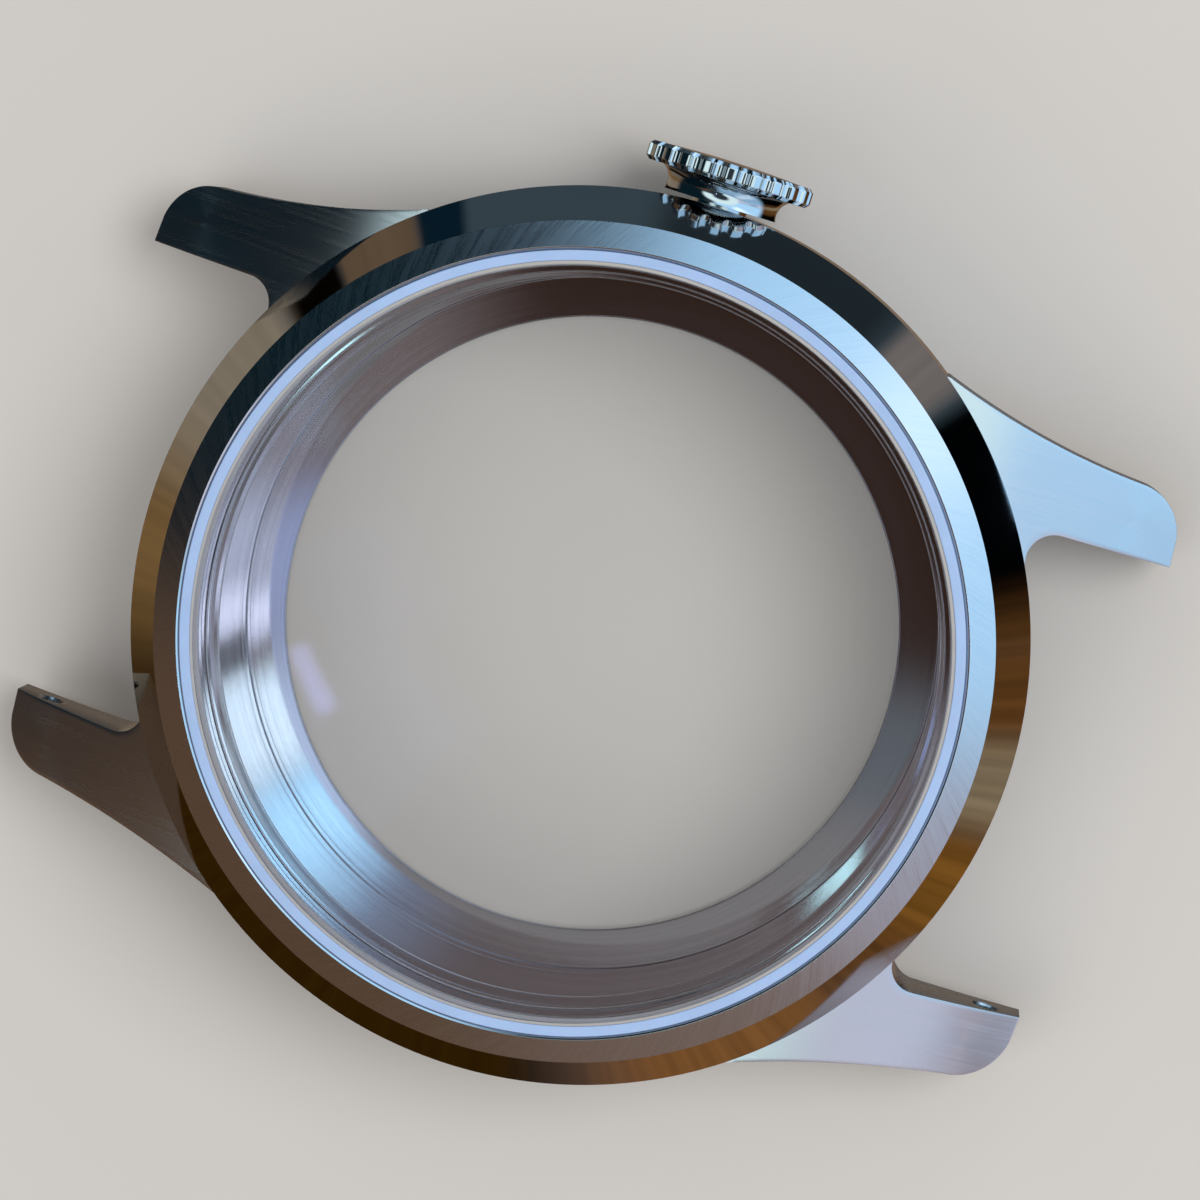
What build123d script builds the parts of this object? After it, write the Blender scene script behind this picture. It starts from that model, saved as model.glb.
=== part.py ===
from build123d import *
import os
from math import asin, cos, pi, sin, sqrt

# Empty wristwatch case: a round steel case with four lugs, a pressed bezel with a flat crystal, a
# scalloped push-pull crown on its tube, and a press-on back with a window.
# Millimetres. The origin is on the case axis, at the outer face of the back. +Z runs along the case
# axis to the front crystal, +X to the crown at 3 o'clock and +Y to 12 o'clock.

# Overall sizes
case_diameter = 41.0
lug_reach = 4.25
strap_width = 22.0
strap_side_play = 0.05
overrun = 1.0
press_gap = 0.01

# Middle case, from the side inwards
side_bottom_height = 2.6
bezel_seat_height = 8.95
foot_inset = 1.6
bezel_seat_width = 2.5
neck_height = 1.4
neck_wall = 1.38
dial_rebate_depth = 1.75
dial_seat_width = 0.24
side_edge_fillet = 0.15

# Bezel, from the side inwards
bezel_edge_height = 0.2
flank_width = 1.59
flank_rise = 2.91
brushed_width = 1.14
brushed_rise = 0.71
mouth_bevel_width = 0.16
mouth_bevel_drop = 0.1
crystal_seat_width = 0.71
bezel_lip_thickness = 0.75
bezel_edge_fillet = 0.04
bezel_gasket_wall = 0.2
bezel_gasket_drop = 0.15

# Front crystal and its gasket
crystal_thickness = 1.6
crystal_chamfer = 0.14
crystal_gasket_wall = 0.48
crystal_gasket_lip_width = 0.67
crystal_gasket_lip = 0.2
crystal_gasket_recess = 0.1

# Lugs: the waist is measured from the strap side, the points after it step in towards that side,
# distances are measured from the tip
lug_inner_root_fillet = 1.3
lug_tail_flare = 1.4
lug_waist_width = 4.07
lug_waist_reach = 3.16
lug_shoulder_step = 0.74
lug_shoulder_distance = 2.55
lug_tip_round_step = 0.72
lug_tip_round_distance = 0.8
lug_tip_end_step = 1.36
lug_tip_end_drop = 0.1
lug_top_lead = 0.64
lug_top_middle_distance = 6.29
lug_top_middle_drop = 1.77
lug_tip_drop = 5.1
lug_tip_thickness = 2.2
lug_belly_length = 8.25
lug_belly_middle_distance = 3.95
lug_belly_middle_rise = 0.85
lug_edge_chamfer = 0.12
spring_bar_hole_radius = 0.55
spring_bar_hole_depth = 1.3
spring_bar_tip_distance = 1.68
spring_bar_drop = 0.1

# Back
back_flange_inset = 0.6
back_flange_height = 0.6
back_floor_rise = 0.35
back_floor_width = 1.88
back_lip_setback = 0.2
back_lip_wall = 0.35
back_lip_rise = 1.6
back_lip_clearance = 0.05
back_crystal_shelf = 0.3
back_crystal_gasket_wall = 0.3
back_crystal_seat_wall = 0.6
back_crystal_recess = 0.05
back_edge_chamfer = 0.25
back_gasket_inset = 0.65
back_gasket_section_radius = 0.2
back_gasket_groove_width = 0.5
back_gasket_groove_depth = 0.42
pry_notch_width = 4.0
pry_notch_depth = 0.9
pry_notch_height = 0.3

# Crown and its tube
crown_drop = 0.275
tube_bore_radius = 1.0
tube_wall = 0.3
tube_inset = 0.37
tube_reach = 0.7
rim_radius = 3.93
rim_gap = 1.15
rim_thickness = 0.9
rim_edge_chamfer = 0.18
crown_dome = 0.12
tooth_count = 21
tooth_groove_radius = 0.3
tooth_groove_depth = 0.27
neck_gap = 0.12
neck_inset = 1.25
neck_waist_rise = 0.36
neck_waist_depth = 0.06
neck_flare = 0.37
crown_recess_play = 0.3
crown_recess_depth = 0.85
post_clearance = 0.05
post_inset = 0.55
post_seat_depth = 0.55
ring_groove_depth = 0.3
ring_groove_width = 0.42
ring_play = 0.02
ring_inset = 1.85
ring_spacing = 0.85
stem_hole_radius = 0.45
stem_hole_depth = 3.0

# Radii and heights of the middle case and the bezel that follow from the sizes above
case_radius = case_diameter / 2
foot_radius = case_radius - foot_inset
foot_height = back_flange_height
neck_radius = case_radius - bezel_seat_width
neck_top_height = bezel_seat_height + neck_height
dial_rebate_radius = neck_radius - neck_wall
dial_seat_height = neck_top_height - dial_rebate_depth
movement_bore_radius = dial_rebate_radius - dial_seat_width
widest_height = bezel_seat_height + bezel_edge_height
flank_top_radius = case_radius - flank_width
flank_top_height = widest_height + flank_rise
brushed_inner_radius = flank_top_radius - brushed_width
brushed_inner_height = flank_top_height + brushed_rise
crystal_bore_radius = brushed_inner_radius - mouth_bevel_width
crystal_seat_height = neck_top_height + bezel_lip_thickness
bezel_lip_radius = crystal_bore_radius - crystal_seat_width
crystal_gasket_lip_radius = crystal_bore_radius - crystal_gasket_lip_width
crystal_bottom_height = crystal_seat_height + crystal_gasket_lip
crystal_top_height = crystal_bottom_height + crystal_thickness
crystal_radius = crystal_bore_radius - crystal_gasket_wall - press_gap

# Places of the back
back_flange_radius = foot_radius - back_flange_inset
back_floor_height = back_flange_height + back_floor_rise
back_lip_height = back_flange_height + back_lip_rise
back_lip_radius = movement_bore_radius + back_lip_setback
back_lip_outer_radius = back_lip_radius + back_lip_wall
back_bore_radius = back_lip_outer_radius + back_lip_clearance
back_bore_height = back_lip_height + back_lip_clearance
back_window_radius = movement_bore_radius - back_floor_width
back_crystal_seat_radius = back_window_radius + back_crystal_seat_wall + back_crystal_gasket_wall
back_crystal_shelf_height = back_floor_height - back_crystal_shelf
back_gasket_radius = back_flange_radius - back_gasket_inset

# Places of the crown and its tube: the axis lies a little under the middle of the side
crown_height = (side_bottom_height + bezel_seat_height) / 2 - crown_drop
tube_radius = tube_bore_radius + tube_wall
tube_inner_x = movement_bore_radius + tube_inset
tube_outer_x = case_radius + tube_reach
rim_inner_x = case_radius + rim_gap
rim_outer_x = rim_inner_x + rim_thickness
neck_base_x = case_radius + neck_gap
neck_waist_x = neck_base_x + neck_waist_rise
neck_base_radius = rim_radius - neck_inset
neck_waist_radius = neck_base_radius - neck_waist_depth
neck_rim_radius = neck_base_radius + neck_flare
crown_recess_radius = tube_radius + crown_recess_play
post_radius = tube_bore_radius - post_clearance
post_inner_x = tube_inner_x + post_inset
second_ring_x = tube_outer_x - ring_inset
first_ring_x = second_ring_x - ring_spacing
crown_plane = Plane.YZ.offset(rim_outer_x).shift_origin((rim_outer_x, 0, crown_height))
crown_axis = Axis((0, 0, crown_height), (1, 0, 0))

os.makedirs("parts", exist_ok=True)


def save(piece, name):
    """Label a finished piece and write it to its own file."""
    piece.part.label = name
    export_step(piece.part, f"parts/{name}.step")


def ring_edges(piece, radius, height):
    """The round edges of a turned piece at one radius and height."""
    def matches(edge):
        return abs(edge.radius - radius) < press_gap and abs(edge.center().Z - height) < press_gap
    return piece.edges().filter_by(GeomType.CIRCLE).filter_by(matches)


def off_the_case(edge):
    """Whether the middle of an edge lies outside the round side of the case."""
    middle = edge @ 0.5
    return middle.X ** 2 + middle.Y ** 2 > (case_radius + press_gap) ** 2


# Middle case: a turned ring with the movement bore, the dial seat, the neck for the bezel, a rebate
# and a gasket groove for the back, and the cross hole for the crown tube
with BuildPart() as mid_case:
    with BuildSketch(Plane.XZ):
        with BuildLine():
            Polyline(
                (back_bore_radius, foot_height),
                (foot_radius, foot_height),
                (case_radius, side_bottom_height),
                (case_radius, bezel_seat_height),
                (neck_radius, bezel_seat_height),
                (neck_radius, neck_top_height),
                (dial_rebate_radius, neck_top_height),
                (dial_rebate_radius, dial_seat_height),
                (movement_bore_radius, dial_seat_height),
                (movement_bore_radius, back_bore_height),
                (back_bore_radius, back_bore_height),
                close=True,
            )
        make_face()
    revolve(axis=Axis.Z)
    with BuildSketch(Plane.XY.offset(foot_height)):
        Circle(back_gasket_radius + back_gasket_groove_width / 2)
        Circle(back_gasket_radius - back_gasket_groove_width / 2, mode=Mode.SUBTRACT)
    extrude(amount=back_gasket_groove_depth, mode=Mode.SUBTRACT)
    with BuildSketch(Plane.YZ):
        with Locations((0, crown_height)):
            Circle(tube_radius + press_gap)
    extrude(amount=case_diameter, mode=Mode.SUBTRACT)
    fillet(ring_edges(mid_case, case_radius, side_bottom_height), radius=side_edge_fillet)
save(mid_case, "mid_case")

# Bezel: polished conical flank, brushed conical face, a bevelled mouth round the crystal and a lip
# that sits on the neck of the middle case
with BuildPart() as bezel:
    with BuildSketch(Plane.XZ):
        with BuildLine():
            Polyline(
                (neck_radius + bezel_gasket_wall, bezel_seat_height),
                (case_radius, bezel_seat_height),
                (case_radius, widest_height),
                (flank_top_radius, flank_top_height),
                (brushed_inner_radius, brushed_inner_height),
                (crystal_bore_radius, brushed_inner_height - mouth_bevel_drop),
                (crystal_bore_radius, crystal_seat_height),
                (bezel_lip_radius, crystal_seat_height),
                (bezel_lip_radius, neck_top_height),
                (neck_radius + bezel_gasket_wall, neck_top_height),
                close=True,
            )
        make_face()
    revolve(axis=Axis.Z)
    fillet(ring_edges(bezel, flank_top_radius, flank_top_height), radius=bezel_edge_fillet)
    fillet(ring_edges(bezel, case_radius, widest_height), radius=bezel_edge_fillet)
save(bezel, "bezel")

# Bezel gasket: a thin sleeve pressed between the neck and the bezel
with BuildPart() as bezel_gasket:
    with BuildSketch(Plane.XY.offset(bezel_seat_height + bezel_gasket_drop)):
        Circle(neck_radius + bezel_gasket_wall - press_gap)
        Circle(neck_radius + press_gap, mode=Mode.SUBTRACT)
    extrude(amount=neck_top_height - bezel_seat_height - bezel_gasket_drop)
save(bezel_gasket, "bezel_gasket")

# Front crystal gasket: a pale sleeve with a lip under the edge of the crystal
with BuildPart() as front_crystal_gasket:
    with BuildSketch(Plane.XZ):
        with BuildLine():
            Polyline(
                (crystal_gasket_lip_radius, crystal_seat_height),
                (crystal_bore_radius - press_gap, crystal_seat_height),
                (crystal_bore_radius - press_gap, crystal_top_height - crystal_gasket_recess),
                (crystal_radius + press_gap, crystal_top_height - crystal_gasket_recess),
                (crystal_radius + press_gap, crystal_bottom_height),
                (crystal_gasket_lip_radius, crystal_bottom_height),
                close=True,
            )
        make_face()
    revolve(axis=Axis.Z)
save(front_crystal_gasket, "front_crystal_gasket")

# Front crystal: a flat disc with a chamfered top edge
with BuildPart() as front_crystal:
    with BuildSketch(Plane.XY.offset(crystal_bottom_height)):
        Circle(crystal_radius)
    extrude(amount=crystal_thickness)
    chamfer(front_crystal.faces().sort_by(Axis.Z)[-1].edges(), length=crystal_chamfer)
save(front_crystal, "front_crystal")

# Lug at 1 o'clock: its plan leaves the case in a pointed tail, runs in to a waist, rounds off at the
# outer corner of the tip and follows the strap back to a rounded root; the top falls in an arc to
# the tip, the belly is arched, and the spring bar's blind hole is drilled from the strap side
lug_inner_x = strap_width / 2 + strap_side_play
lug_tip_y = case_radius + lug_reach
waist_x = lug_inner_x + lug_waist_width
waist_y = sqrt(case_radius ** 2 - waist_x ** 2) + lug_waist_reach
tail_x = waist_x + lug_tail_flare
tail_y = sqrt(case_radius ** 2 - tail_x ** 2)
shoulder_x = waist_x - lug_shoulder_step
shoulder_y = lug_tip_y - lug_shoulder_distance
tip_round_x = shoulder_x - lug_tip_round_step
tip_round_y = lug_tip_y - lug_tip_round_distance
tip_end_x = tip_round_x - lug_tip_end_step
tip_end_y = lug_tip_y - lug_tip_end_drop
root_centre_x = lug_inner_x - lug_inner_root_fillet
root_centre_y = sqrt((case_radius + lug_inner_root_fillet) ** 2 - root_centre_x ** 2)
root_share = case_radius / (case_radius + lug_inner_root_fillet)
root_x = root_centre_x * root_share
root_y = root_centre_y * root_share
root_middle_angle = asin(root_centre_y / (case_radius + lug_inner_root_fillet)) / 2
root_middle_x = root_centre_x + lug_inner_root_fillet * sin(pi / 2 - root_middle_angle)
root_middle_y = root_centre_y - lug_inner_root_fillet * cos(pi / 2 - root_middle_angle)
root_circle_angle = (asin(root_y / case_radius) + asin(tail_y / case_radius)) / 2
lug_top_start_y = tail_y - lug_top_lead
lug_top_middle_y = lug_tip_y - lug_top_middle_distance
lug_top_middle_height = bezel_seat_height - lug_top_middle_drop
lug_tip_top_height = bezel_seat_height - lug_tip_drop
lug_tip_bottom_height = lug_tip_top_height - lug_tip_thickness
lug_belly_start_y = lug_tip_y - lug_belly_length
lug_belly_middle_y = lug_tip_y - lug_belly_middle_distance
lug_belly_middle_height = lug_tip_bottom_height + lug_belly_middle_rise
lug_root_bottom_height = side_bottom_height + side_edge_fillet
spring_bar_y = lug_tip_y - spring_bar_tip_distance
spring_bar_height = lug_tip_top_height - spring_bar_drop
with BuildPart() as lug_one_oclock:
    with BuildSketch(Plane.XY):
        with BuildLine():
            ThreePointArc((tail_x, tail_y), (waist_x, waist_y), (shoulder_x, shoulder_y))
            ThreePointArc((shoulder_x, shoulder_y), (tip_round_x, tip_round_y), (tip_end_x, tip_end_y))
            Line((tip_end_x, tip_end_y), (lug_inner_x, lug_tip_y))
            Line((lug_inner_x, lug_tip_y), (lug_inner_x, root_centre_y))
            ThreePointArc((lug_inner_x, root_centre_y), (root_middle_x, root_middle_y), (root_x, root_y))
            ThreePointArc(
                (root_x, root_y),
                (case_radius * cos(root_circle_angle), case_radius * sin(root_circle_angle)),
                (tail_x, tail_y),
            )
        make_face()
    extrude(amount=widest_height)
    with BuildSketch(Plane.YZ):
        with BuildLine():
            Line((0, bezel_seat_height), (lug_top_start_y, bezel_seat_height))
            top = ThreePointArc(
                (lug_top_start_y, bezel_seat_height),
                (lug_top_middle_y, lug_top_middle_height),
                (lug_tip_y + press_gap, lug_tip_top_height),
            )
            Line(top @ 1, (lug_tip_y + press_gap, lug_tip_bottom_height))
            belly = ThreePointArc(
                (lug_tip_y + press_gap, lug_tip_bottom_height),
                (lug_belly_middle_y, lug_belly_middle_height),
                (lug_belly_start_y, lug_root_bottom_height),
            )
            Line(belly @ 1, (0, lug_root_bottom_height))
            Line((0, lug_root_bottom_height), (0, bezel_seat_height))
        make_face()
    extrude(amount=case_diameter, mode=Mode.INTERSECT)
    with BuildSketch(Plane.YZ.offset(lug_inner_x)):
        with Locations((spring_bar_y, spring_bar_height)):
            Circle(spring_bar_hole_radius)
    extrude(amount=spring_bar_hole_depth, mode=Mode.SUBTRACT)
    top_face = lug_one_oclock.faces().filter_by(GeomType.CYLINDER).sort_by(Axis.Z)[-1]
    chamfer(top_face.edges().filter_by(off_the_case), length=lug_edge_chamfer)
save(lug_one_oclock, "lug_one_oclock")

# The other three lugs are mirror images of the first
for lug_name, mirror_planes in (
    ("lug_five_oclock", (Plane.XZ,)),
    ("lug_seven_oclock", (Plane.XZ, Plane.YZ)),
    ("lug_eleven_oclock", (Plane.YZ,)),
):
    with BuildPart() as lug:
        add(lug_one_oclock.part)
        for mirror_plane in mirror_planes:
            mirror(about=mirror_plane, mode=Mode.REPLACE)
    save(lug, lug_name)

# Back: a turned ring with a flange, a lip that is pressed into the middle case, a floor, a window
# with a crystal seat open to the outside, and a notch for the case knife at 9 o'clock
with BuildPart() as case_back_ring:
    with BuildSketch(Plane.XZ):
        with BuildLine():
            Polyline(
                (back_crystal_seat_radius, 0),
                (back_flange_radius - back_edge_chamfer, 0),
                (back_flange_radius, back_edge_chamfer),
                (back_flange_radius, back_flange_height),
                (back_lip_outer_radius, back_flange_height),
                (back_lip_outer_radius, back_lip_height),
                (back_lip_radius, back_lip_height),
                (back_lip_radius, back_floor_height),
                (back_window_radius, back_floor_height),
                (back_window_radius, back_crystal_shelf_height),
                (back_crystal_seat_radius, back_crystal_shelf_height),
                close=True,
            )
        make_face()
    revolve(axis=Axis.Z)
    with BuildSketch(Plane.XY.offset(back_flange_height - pry_notch_height)):
        with Locations((-back_flange_radius, 0)):
            Rectangle(pry_notch_depth * 2, pry_notch_width)
    extrude(amount=pry_notch_height, mode=Mode.SUBTRACT)
save(case_back_ring, "case_back_ring")

# Back crystal: a thin disc in its seat, a little inside the outer face
with BuildPart() as back_crystal:
    with BuildSketch(Plane.XY.offset(back_crystal_recess)):
        Circle(back_crystal_seat_radius - back_crystal_gasket_wall - press_gap)
    extrude(amount=back_crystal_shelf_height - back_crystal_recess)
save(back_crystal, "back_crystal")

# Back crystal gasket: a ring round the back crystal
with BuildPart() as back_crystal_gasket:
    with BuildSketch(Plane.XY.offset(back_crystal_recess)):
        Circle(back_crystal_seat_radius - press_gap)
        Circle(back_crystal_seat_radius - back_crystal_gasket_wall, mode=Mode.SUBTRACT)
    extrude(amount=back_crystal_shelf_height - back_crystal_recess)
save(back_crystal_gasket, "back_crystal_gasket")

# Case back gasket: a round cord ring that lies on the flange, in the groove of the middle case
with BuildPart() as case_back_gasket:
    with BuildSketch(Plane.XZ):
        with Locations((back_gasket_radius, foot_height + back_gasket_section_radius)):
            Circle(back_gasket_section_radius)
    revolve(axis=Axis.Z)
save(case_back_gasket, "case_back_gasket")

# Crown tube: pressed through the wall at 3 o'clock, it stands out of the case inside the crown
with BuildPart() as crown_tube:
    with BuildSketch(Plane.YZ.offset(tube_inner_x)):
        with Locations((0, crown_height)):
            Circle(tube_radius)
            Circle(tube_bore_radius, mode=Mode.SUBTRACT)
    extrude(amount=tube_outer_x - tube_inner_x)
save(crown_tube, "crown_tube")

# Crown: a thin scalloped rim on a concave neck, hollow underneath where it covers the tube
dome_edge_radius = rim_radius - tooth_groove_depth - rim_edge_chamfer
dome_radius = (dome_edge_radius ** 2 + crown_dome ** 2) / (2 * crown_dome)
dome_middle_x = rim_outer_x + crown_dome - dome_radius + sqrt(dome_radius ** 2 - (dome_edge_radius / 2) ** 2)
with BuildPart() as crown_head:
    with BuildSketch(Plane.XZ):
        with BuildLine():
            Polyline(
                (neck_base_x + crown_recess_depth + post_seat_depth, crown_height),
                (neck_base_x + crown_recess_depth + post_seat_depth, crown_height + post_radius),
                (neck_base_x + crown_recess_depth, crown_height + post_radius),
                (neck_base_x + crown_recess_depth, crown_height + crown_recess_radius),
                (neck_base_x, crown_height + crown_recess_radius),
                (neck_base_x, crown_height + neck_base_radius),
            )
            ThreePointArc(
                (neck_base_x, crown_height + neck_base_radius),
                (neck_waist_x, crown_height + neck_waist_radius),
                (rim_inner_x, crown_height + neck_rim_radius),
            )
            Polyline(
                (rim_inner_x, crown_height + neck_rim_radius),
                (rim_inner_x, crown_height + rim_radius - rim_edge_chamfer),
                (rim_inner_x + rim_edge_chamfer, crown_height + rim_radius),
                (rim_outer_x - rim_edge_chamfer, crown_height + rim_radius),
                (rim_outer_x, crown_height + rim_radius - rim_edge_chamfer),
                (rim_outer_x, crown_height + dome_edge_radius),
            )
            ThreePointArc(
                (rim_outer_x, crown_height + dome_edge_radius),
                (dome_middle_x, crown_height + dome_edge_radius / 2),
                (rim_outer_x + crown_dome, crown_height),
            )
            Line(
                (rim_outer_x + crown_dome, crown_height),
                (neck_base_x + crown_recess_depth + post_seat_depth, crown_height),
            )
        make_face()
    revolve(axis=crown_axis)
    with BuildSketch(crown_plane.offset(overrun)):
        with PolarLocations(rim_radius + tooth_groove_radius - tooth_groove_depth, tooth_count):
            Circle(tooth_groove_radius)
    extrude(amount=-(rim_thickness + overrun + press_gap), mode=Mode.SUBTRACT)
save(crown_head, "crown_head")

# Crown post: pressed into the crown, it runs in the tube, carries two sealing rings in grooves and
# has the tapped hole for the winding stem in its inner end
post_outer_x = neck_base_x + crown_recess_depth + post_seat_depth
with BuildPart() as crown_post:
    with BuildSketch(Plane.YZ.offset(post_inner_x)):
        with Locations((0, crown_height)):
            Circle(post_radius)
    extrude(amount=post_outer_x - post_inner_x)
    for ring_x in (first_ring_x, second_ring_x):
        with BuildSketch(Plane.YZ.offset(ring_x - ring_groove_width / 2)):
            with Locations((0, crown_height)):
                Circle(post_radius + overrun)
                Circle(post_radius - ring_groove_depth, mode=Mode.SUBTRACT)
        extrude(amount=ring_groove_width, mode=Mode.SUBTRACT)
    with BuildSketch(Plane.YZ.offset(post_inner_x)):
        with Locations((0, crown_height)):
            Circle(stem_hole_radius)
    extrude(amount=stem_hole_depth, mode=Mode.SUBTRACT)
save(crown_post, "crown_post")

# Crown gaskets: two round cord rings in the grooves of the post, sliding in the tube
ring_outer_radius = tube_bore_radius - ring_play
ring_inner_radius = post_radius - ring_groove_depth + ring_play
ring_section_radius = (ring_outer_radius - ring_inner_radius) / 2
for ring_name, ring_x in (("crown_gasket_inner", first_ring_x), ("crown_gasket_outer", second_ring_x)):
    with BuildPart() as crown_gasket:
        with BuildSketch(Plane.XZ):
            with Locations((ring_x, crown_height + ring_inner_radius + ring_section_radius)):
                Circle(ring_section_radius)
        revolve(axis=crown_axis)
    save(crown_gasket, ring_name)
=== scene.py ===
"""Looks of an empty watch case: turned, brushed and polished steel, crystals, gaskets, light and camera.

Metres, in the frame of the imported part: the origin is on the case axis at the outer face of the back,
+Z runs to the front crystal, +X to the crown at 3 o'clock and +Y to 12 o'clock.
"""

from functools import cache
from math import acos, asin, cos, pi, radians, sin, sqrt, tan

import bmesh
import bpy
from mathutils import Matrix, Vector


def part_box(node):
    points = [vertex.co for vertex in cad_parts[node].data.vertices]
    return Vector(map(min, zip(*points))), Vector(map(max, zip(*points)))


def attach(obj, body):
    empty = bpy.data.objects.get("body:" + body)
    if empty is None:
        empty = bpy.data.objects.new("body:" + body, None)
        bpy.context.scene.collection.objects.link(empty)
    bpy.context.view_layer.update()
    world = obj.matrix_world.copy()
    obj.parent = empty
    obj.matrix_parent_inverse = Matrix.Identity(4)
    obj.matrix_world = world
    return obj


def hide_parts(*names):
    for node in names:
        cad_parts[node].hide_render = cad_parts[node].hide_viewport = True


bl_info = {
    "name": "Empty Watch Case",
    "version": (1, 0, 0),
    "blender": (4, 5, 0),
    "location": "View3D > Sidebar > Watch Case",
    "description": "Makes the steel, crystal and gasket pieces of an empty watch case",
    "category": "Object",
}

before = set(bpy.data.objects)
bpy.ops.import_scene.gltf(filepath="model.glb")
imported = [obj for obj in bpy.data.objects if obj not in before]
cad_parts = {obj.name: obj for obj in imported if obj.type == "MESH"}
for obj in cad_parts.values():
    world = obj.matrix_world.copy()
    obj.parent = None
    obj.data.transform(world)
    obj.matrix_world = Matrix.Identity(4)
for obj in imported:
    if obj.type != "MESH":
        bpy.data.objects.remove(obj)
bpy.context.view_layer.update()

MM = 0.001

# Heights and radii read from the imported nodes
case_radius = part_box("mid_case")[1].x
foot_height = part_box("mid_case")[0].z
neck_top_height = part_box("mid_case")[1].z
bezel_seat_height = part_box("bezel")[0].z
bezel_top_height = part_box("bezel")[1].z
crystal_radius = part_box("front_crystal")[1].x
crystal_bottom_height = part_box("front_crystal")[0].z
crystal_top_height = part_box("front_crystal")[1].z
crystal_bore_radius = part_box("front_crystal_gasket")[1].x
crystal_gasket_top_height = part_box("front_crystal_gasket")[1].z
crystal_seat_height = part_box("front_crystal_gasket")[0].z
bezel_gasket_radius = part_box("bezel_gasket")[1].x
bezel_gasket_bottom_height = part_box("bezel_gasket")[0].z
lug_outer_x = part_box("lug_one_oclock")[1].x
lug_tip_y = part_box("lug_one_oclock")[1].y
lug_tip_bottom_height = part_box("lug_one_oclock")[0].z
back_flange_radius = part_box("case_back_ring")[1].x
back_lip_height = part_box("case_back_ring")[1].z
back_crystal_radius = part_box("back_crystal")[1].x
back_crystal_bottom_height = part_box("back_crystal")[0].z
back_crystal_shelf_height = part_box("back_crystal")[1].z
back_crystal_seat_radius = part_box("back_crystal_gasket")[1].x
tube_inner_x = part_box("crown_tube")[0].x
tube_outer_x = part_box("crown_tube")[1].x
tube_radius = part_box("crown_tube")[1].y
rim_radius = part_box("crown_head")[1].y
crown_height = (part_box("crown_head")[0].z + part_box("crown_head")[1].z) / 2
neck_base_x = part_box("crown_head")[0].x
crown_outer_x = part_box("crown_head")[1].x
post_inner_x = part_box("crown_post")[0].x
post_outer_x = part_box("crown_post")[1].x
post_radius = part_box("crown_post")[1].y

# Middle case, from the side inwards
side_bottom_height = 2.6 * MM
foot_inset = 1.6 * MM
bezel_seat_width = 2.5 * MM
neck_wall = 1.38 * MM
dial_rebate_depth = 1.75 * MM
dial_seat_width = 0.24 * MM
side_edge_round = 0.15 * MM
inner_edge_round = 0.05 * MM
drill_overrun = 2.5 * MM
neck_radius = case_radius - bezel_seat_width
dial_rebate_radius = neck_radius - neck_wall
dial_seat_height = neck_top_height - dial_rebate_depth
movement_bore_radius = dial_rebate_radius - dial_seat_width

# Bezel, from the side inwards
bezel_edge_height = 0.2 * MM
flank_width = 1.59 * MM
flank_rise = 2.91 * MM
mouth_bevel_width = 0.16 * MM
mouth_bevel_drop = 0.1 * MM
crystal_seat_width = 0.71 * MM
bezel_joint_round = 0.03 * MM
mouth_edge_round = 0.02 * MM
widest_height = bezel_seat_height + bezel_edge_height
flank_top_radius = case_radius - flank_width
flank_top_height = widest_height + flank_rise
brushed_inner_radius = crystal_bore_radius + mouth_bevel_width
bezel_lip_radius = crystal_bore_radius - crystal_seat_width

# Crystals and their gaskets
crystal_chamfer = 0.14 * MM
crystal_edge_round = 0.02 * MM
gasket_wall_gap = 0.01 * MM
crystal_gasket_lip_width = 0.67 * MM
gasket_edge_round = 0.06 * MM

# Lugs, measured from the strap side and from the tip
lug_inner_x = 11.05 * MM
root_fillet = 1.3 * MM
waist_width = 4.07 * MM
waist_reach = 3.16 * MM
shoulder_step = 0.74 * MM
shoulder_distance = 2.55 * MM
tip_round_step = 0.72 * MM
tip_round_distance = 0.8 * MM
tip_end_step = 1.36 * MM
tip_end_drop = 0.1 * MM
top_lead = 0.64 * MM
top_middle_distance = 6.29 * MM
top_middle_drop = 1.77 * MM
tip_drop = 5.1 * MM
belly_length = 8.25 * MM
belly_middle_distance = 3.95 * MM
belly_middle_rise = 0.85 * MM
lug_sink = 0.15 * MM
hole_radius = 0.55 * MM
hole_depth = 1.3 * MM
hole_tip_distance = 1.68 * MM
hole_drop = 0.1 * MM
hole_bevel = 0.1 * MM
lug_tail_y = sqrt(case_radius ** 2 - lug_outer_x ** 2)
hole_y = lug_tip_y - hole_tip_distance
hole_height = bezel_seat_height - tip_drop - hole_drop

# Arcs along the top and the belly of a lug, three points each as (distance towards 12 o'clock, height)
lug_top_arc = (
    (lug_tail_y - top_lead, bezel_seat_height),
    (lug_tip_y - top_middle_distance, bezel_seat_height - top_middle_drop),
    (lug_tip_y, bezel_seat_height - tip_drop),
)
lug_belly_arc = (
    (lug_tip_y - belly_length, side_bottom_height + side_edge_round),
    (lug_tip_y - belly_middle_distance, lug_tip_bottom_height + belly_middle_rise),
    (lug_tip_y, lug_tip_bottom_height),
)

# Centre that the brush strokes along the top of a lug bend round, given in the same way
lug_top_centre = Vector((7.58, -21.02)) * MM

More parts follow.
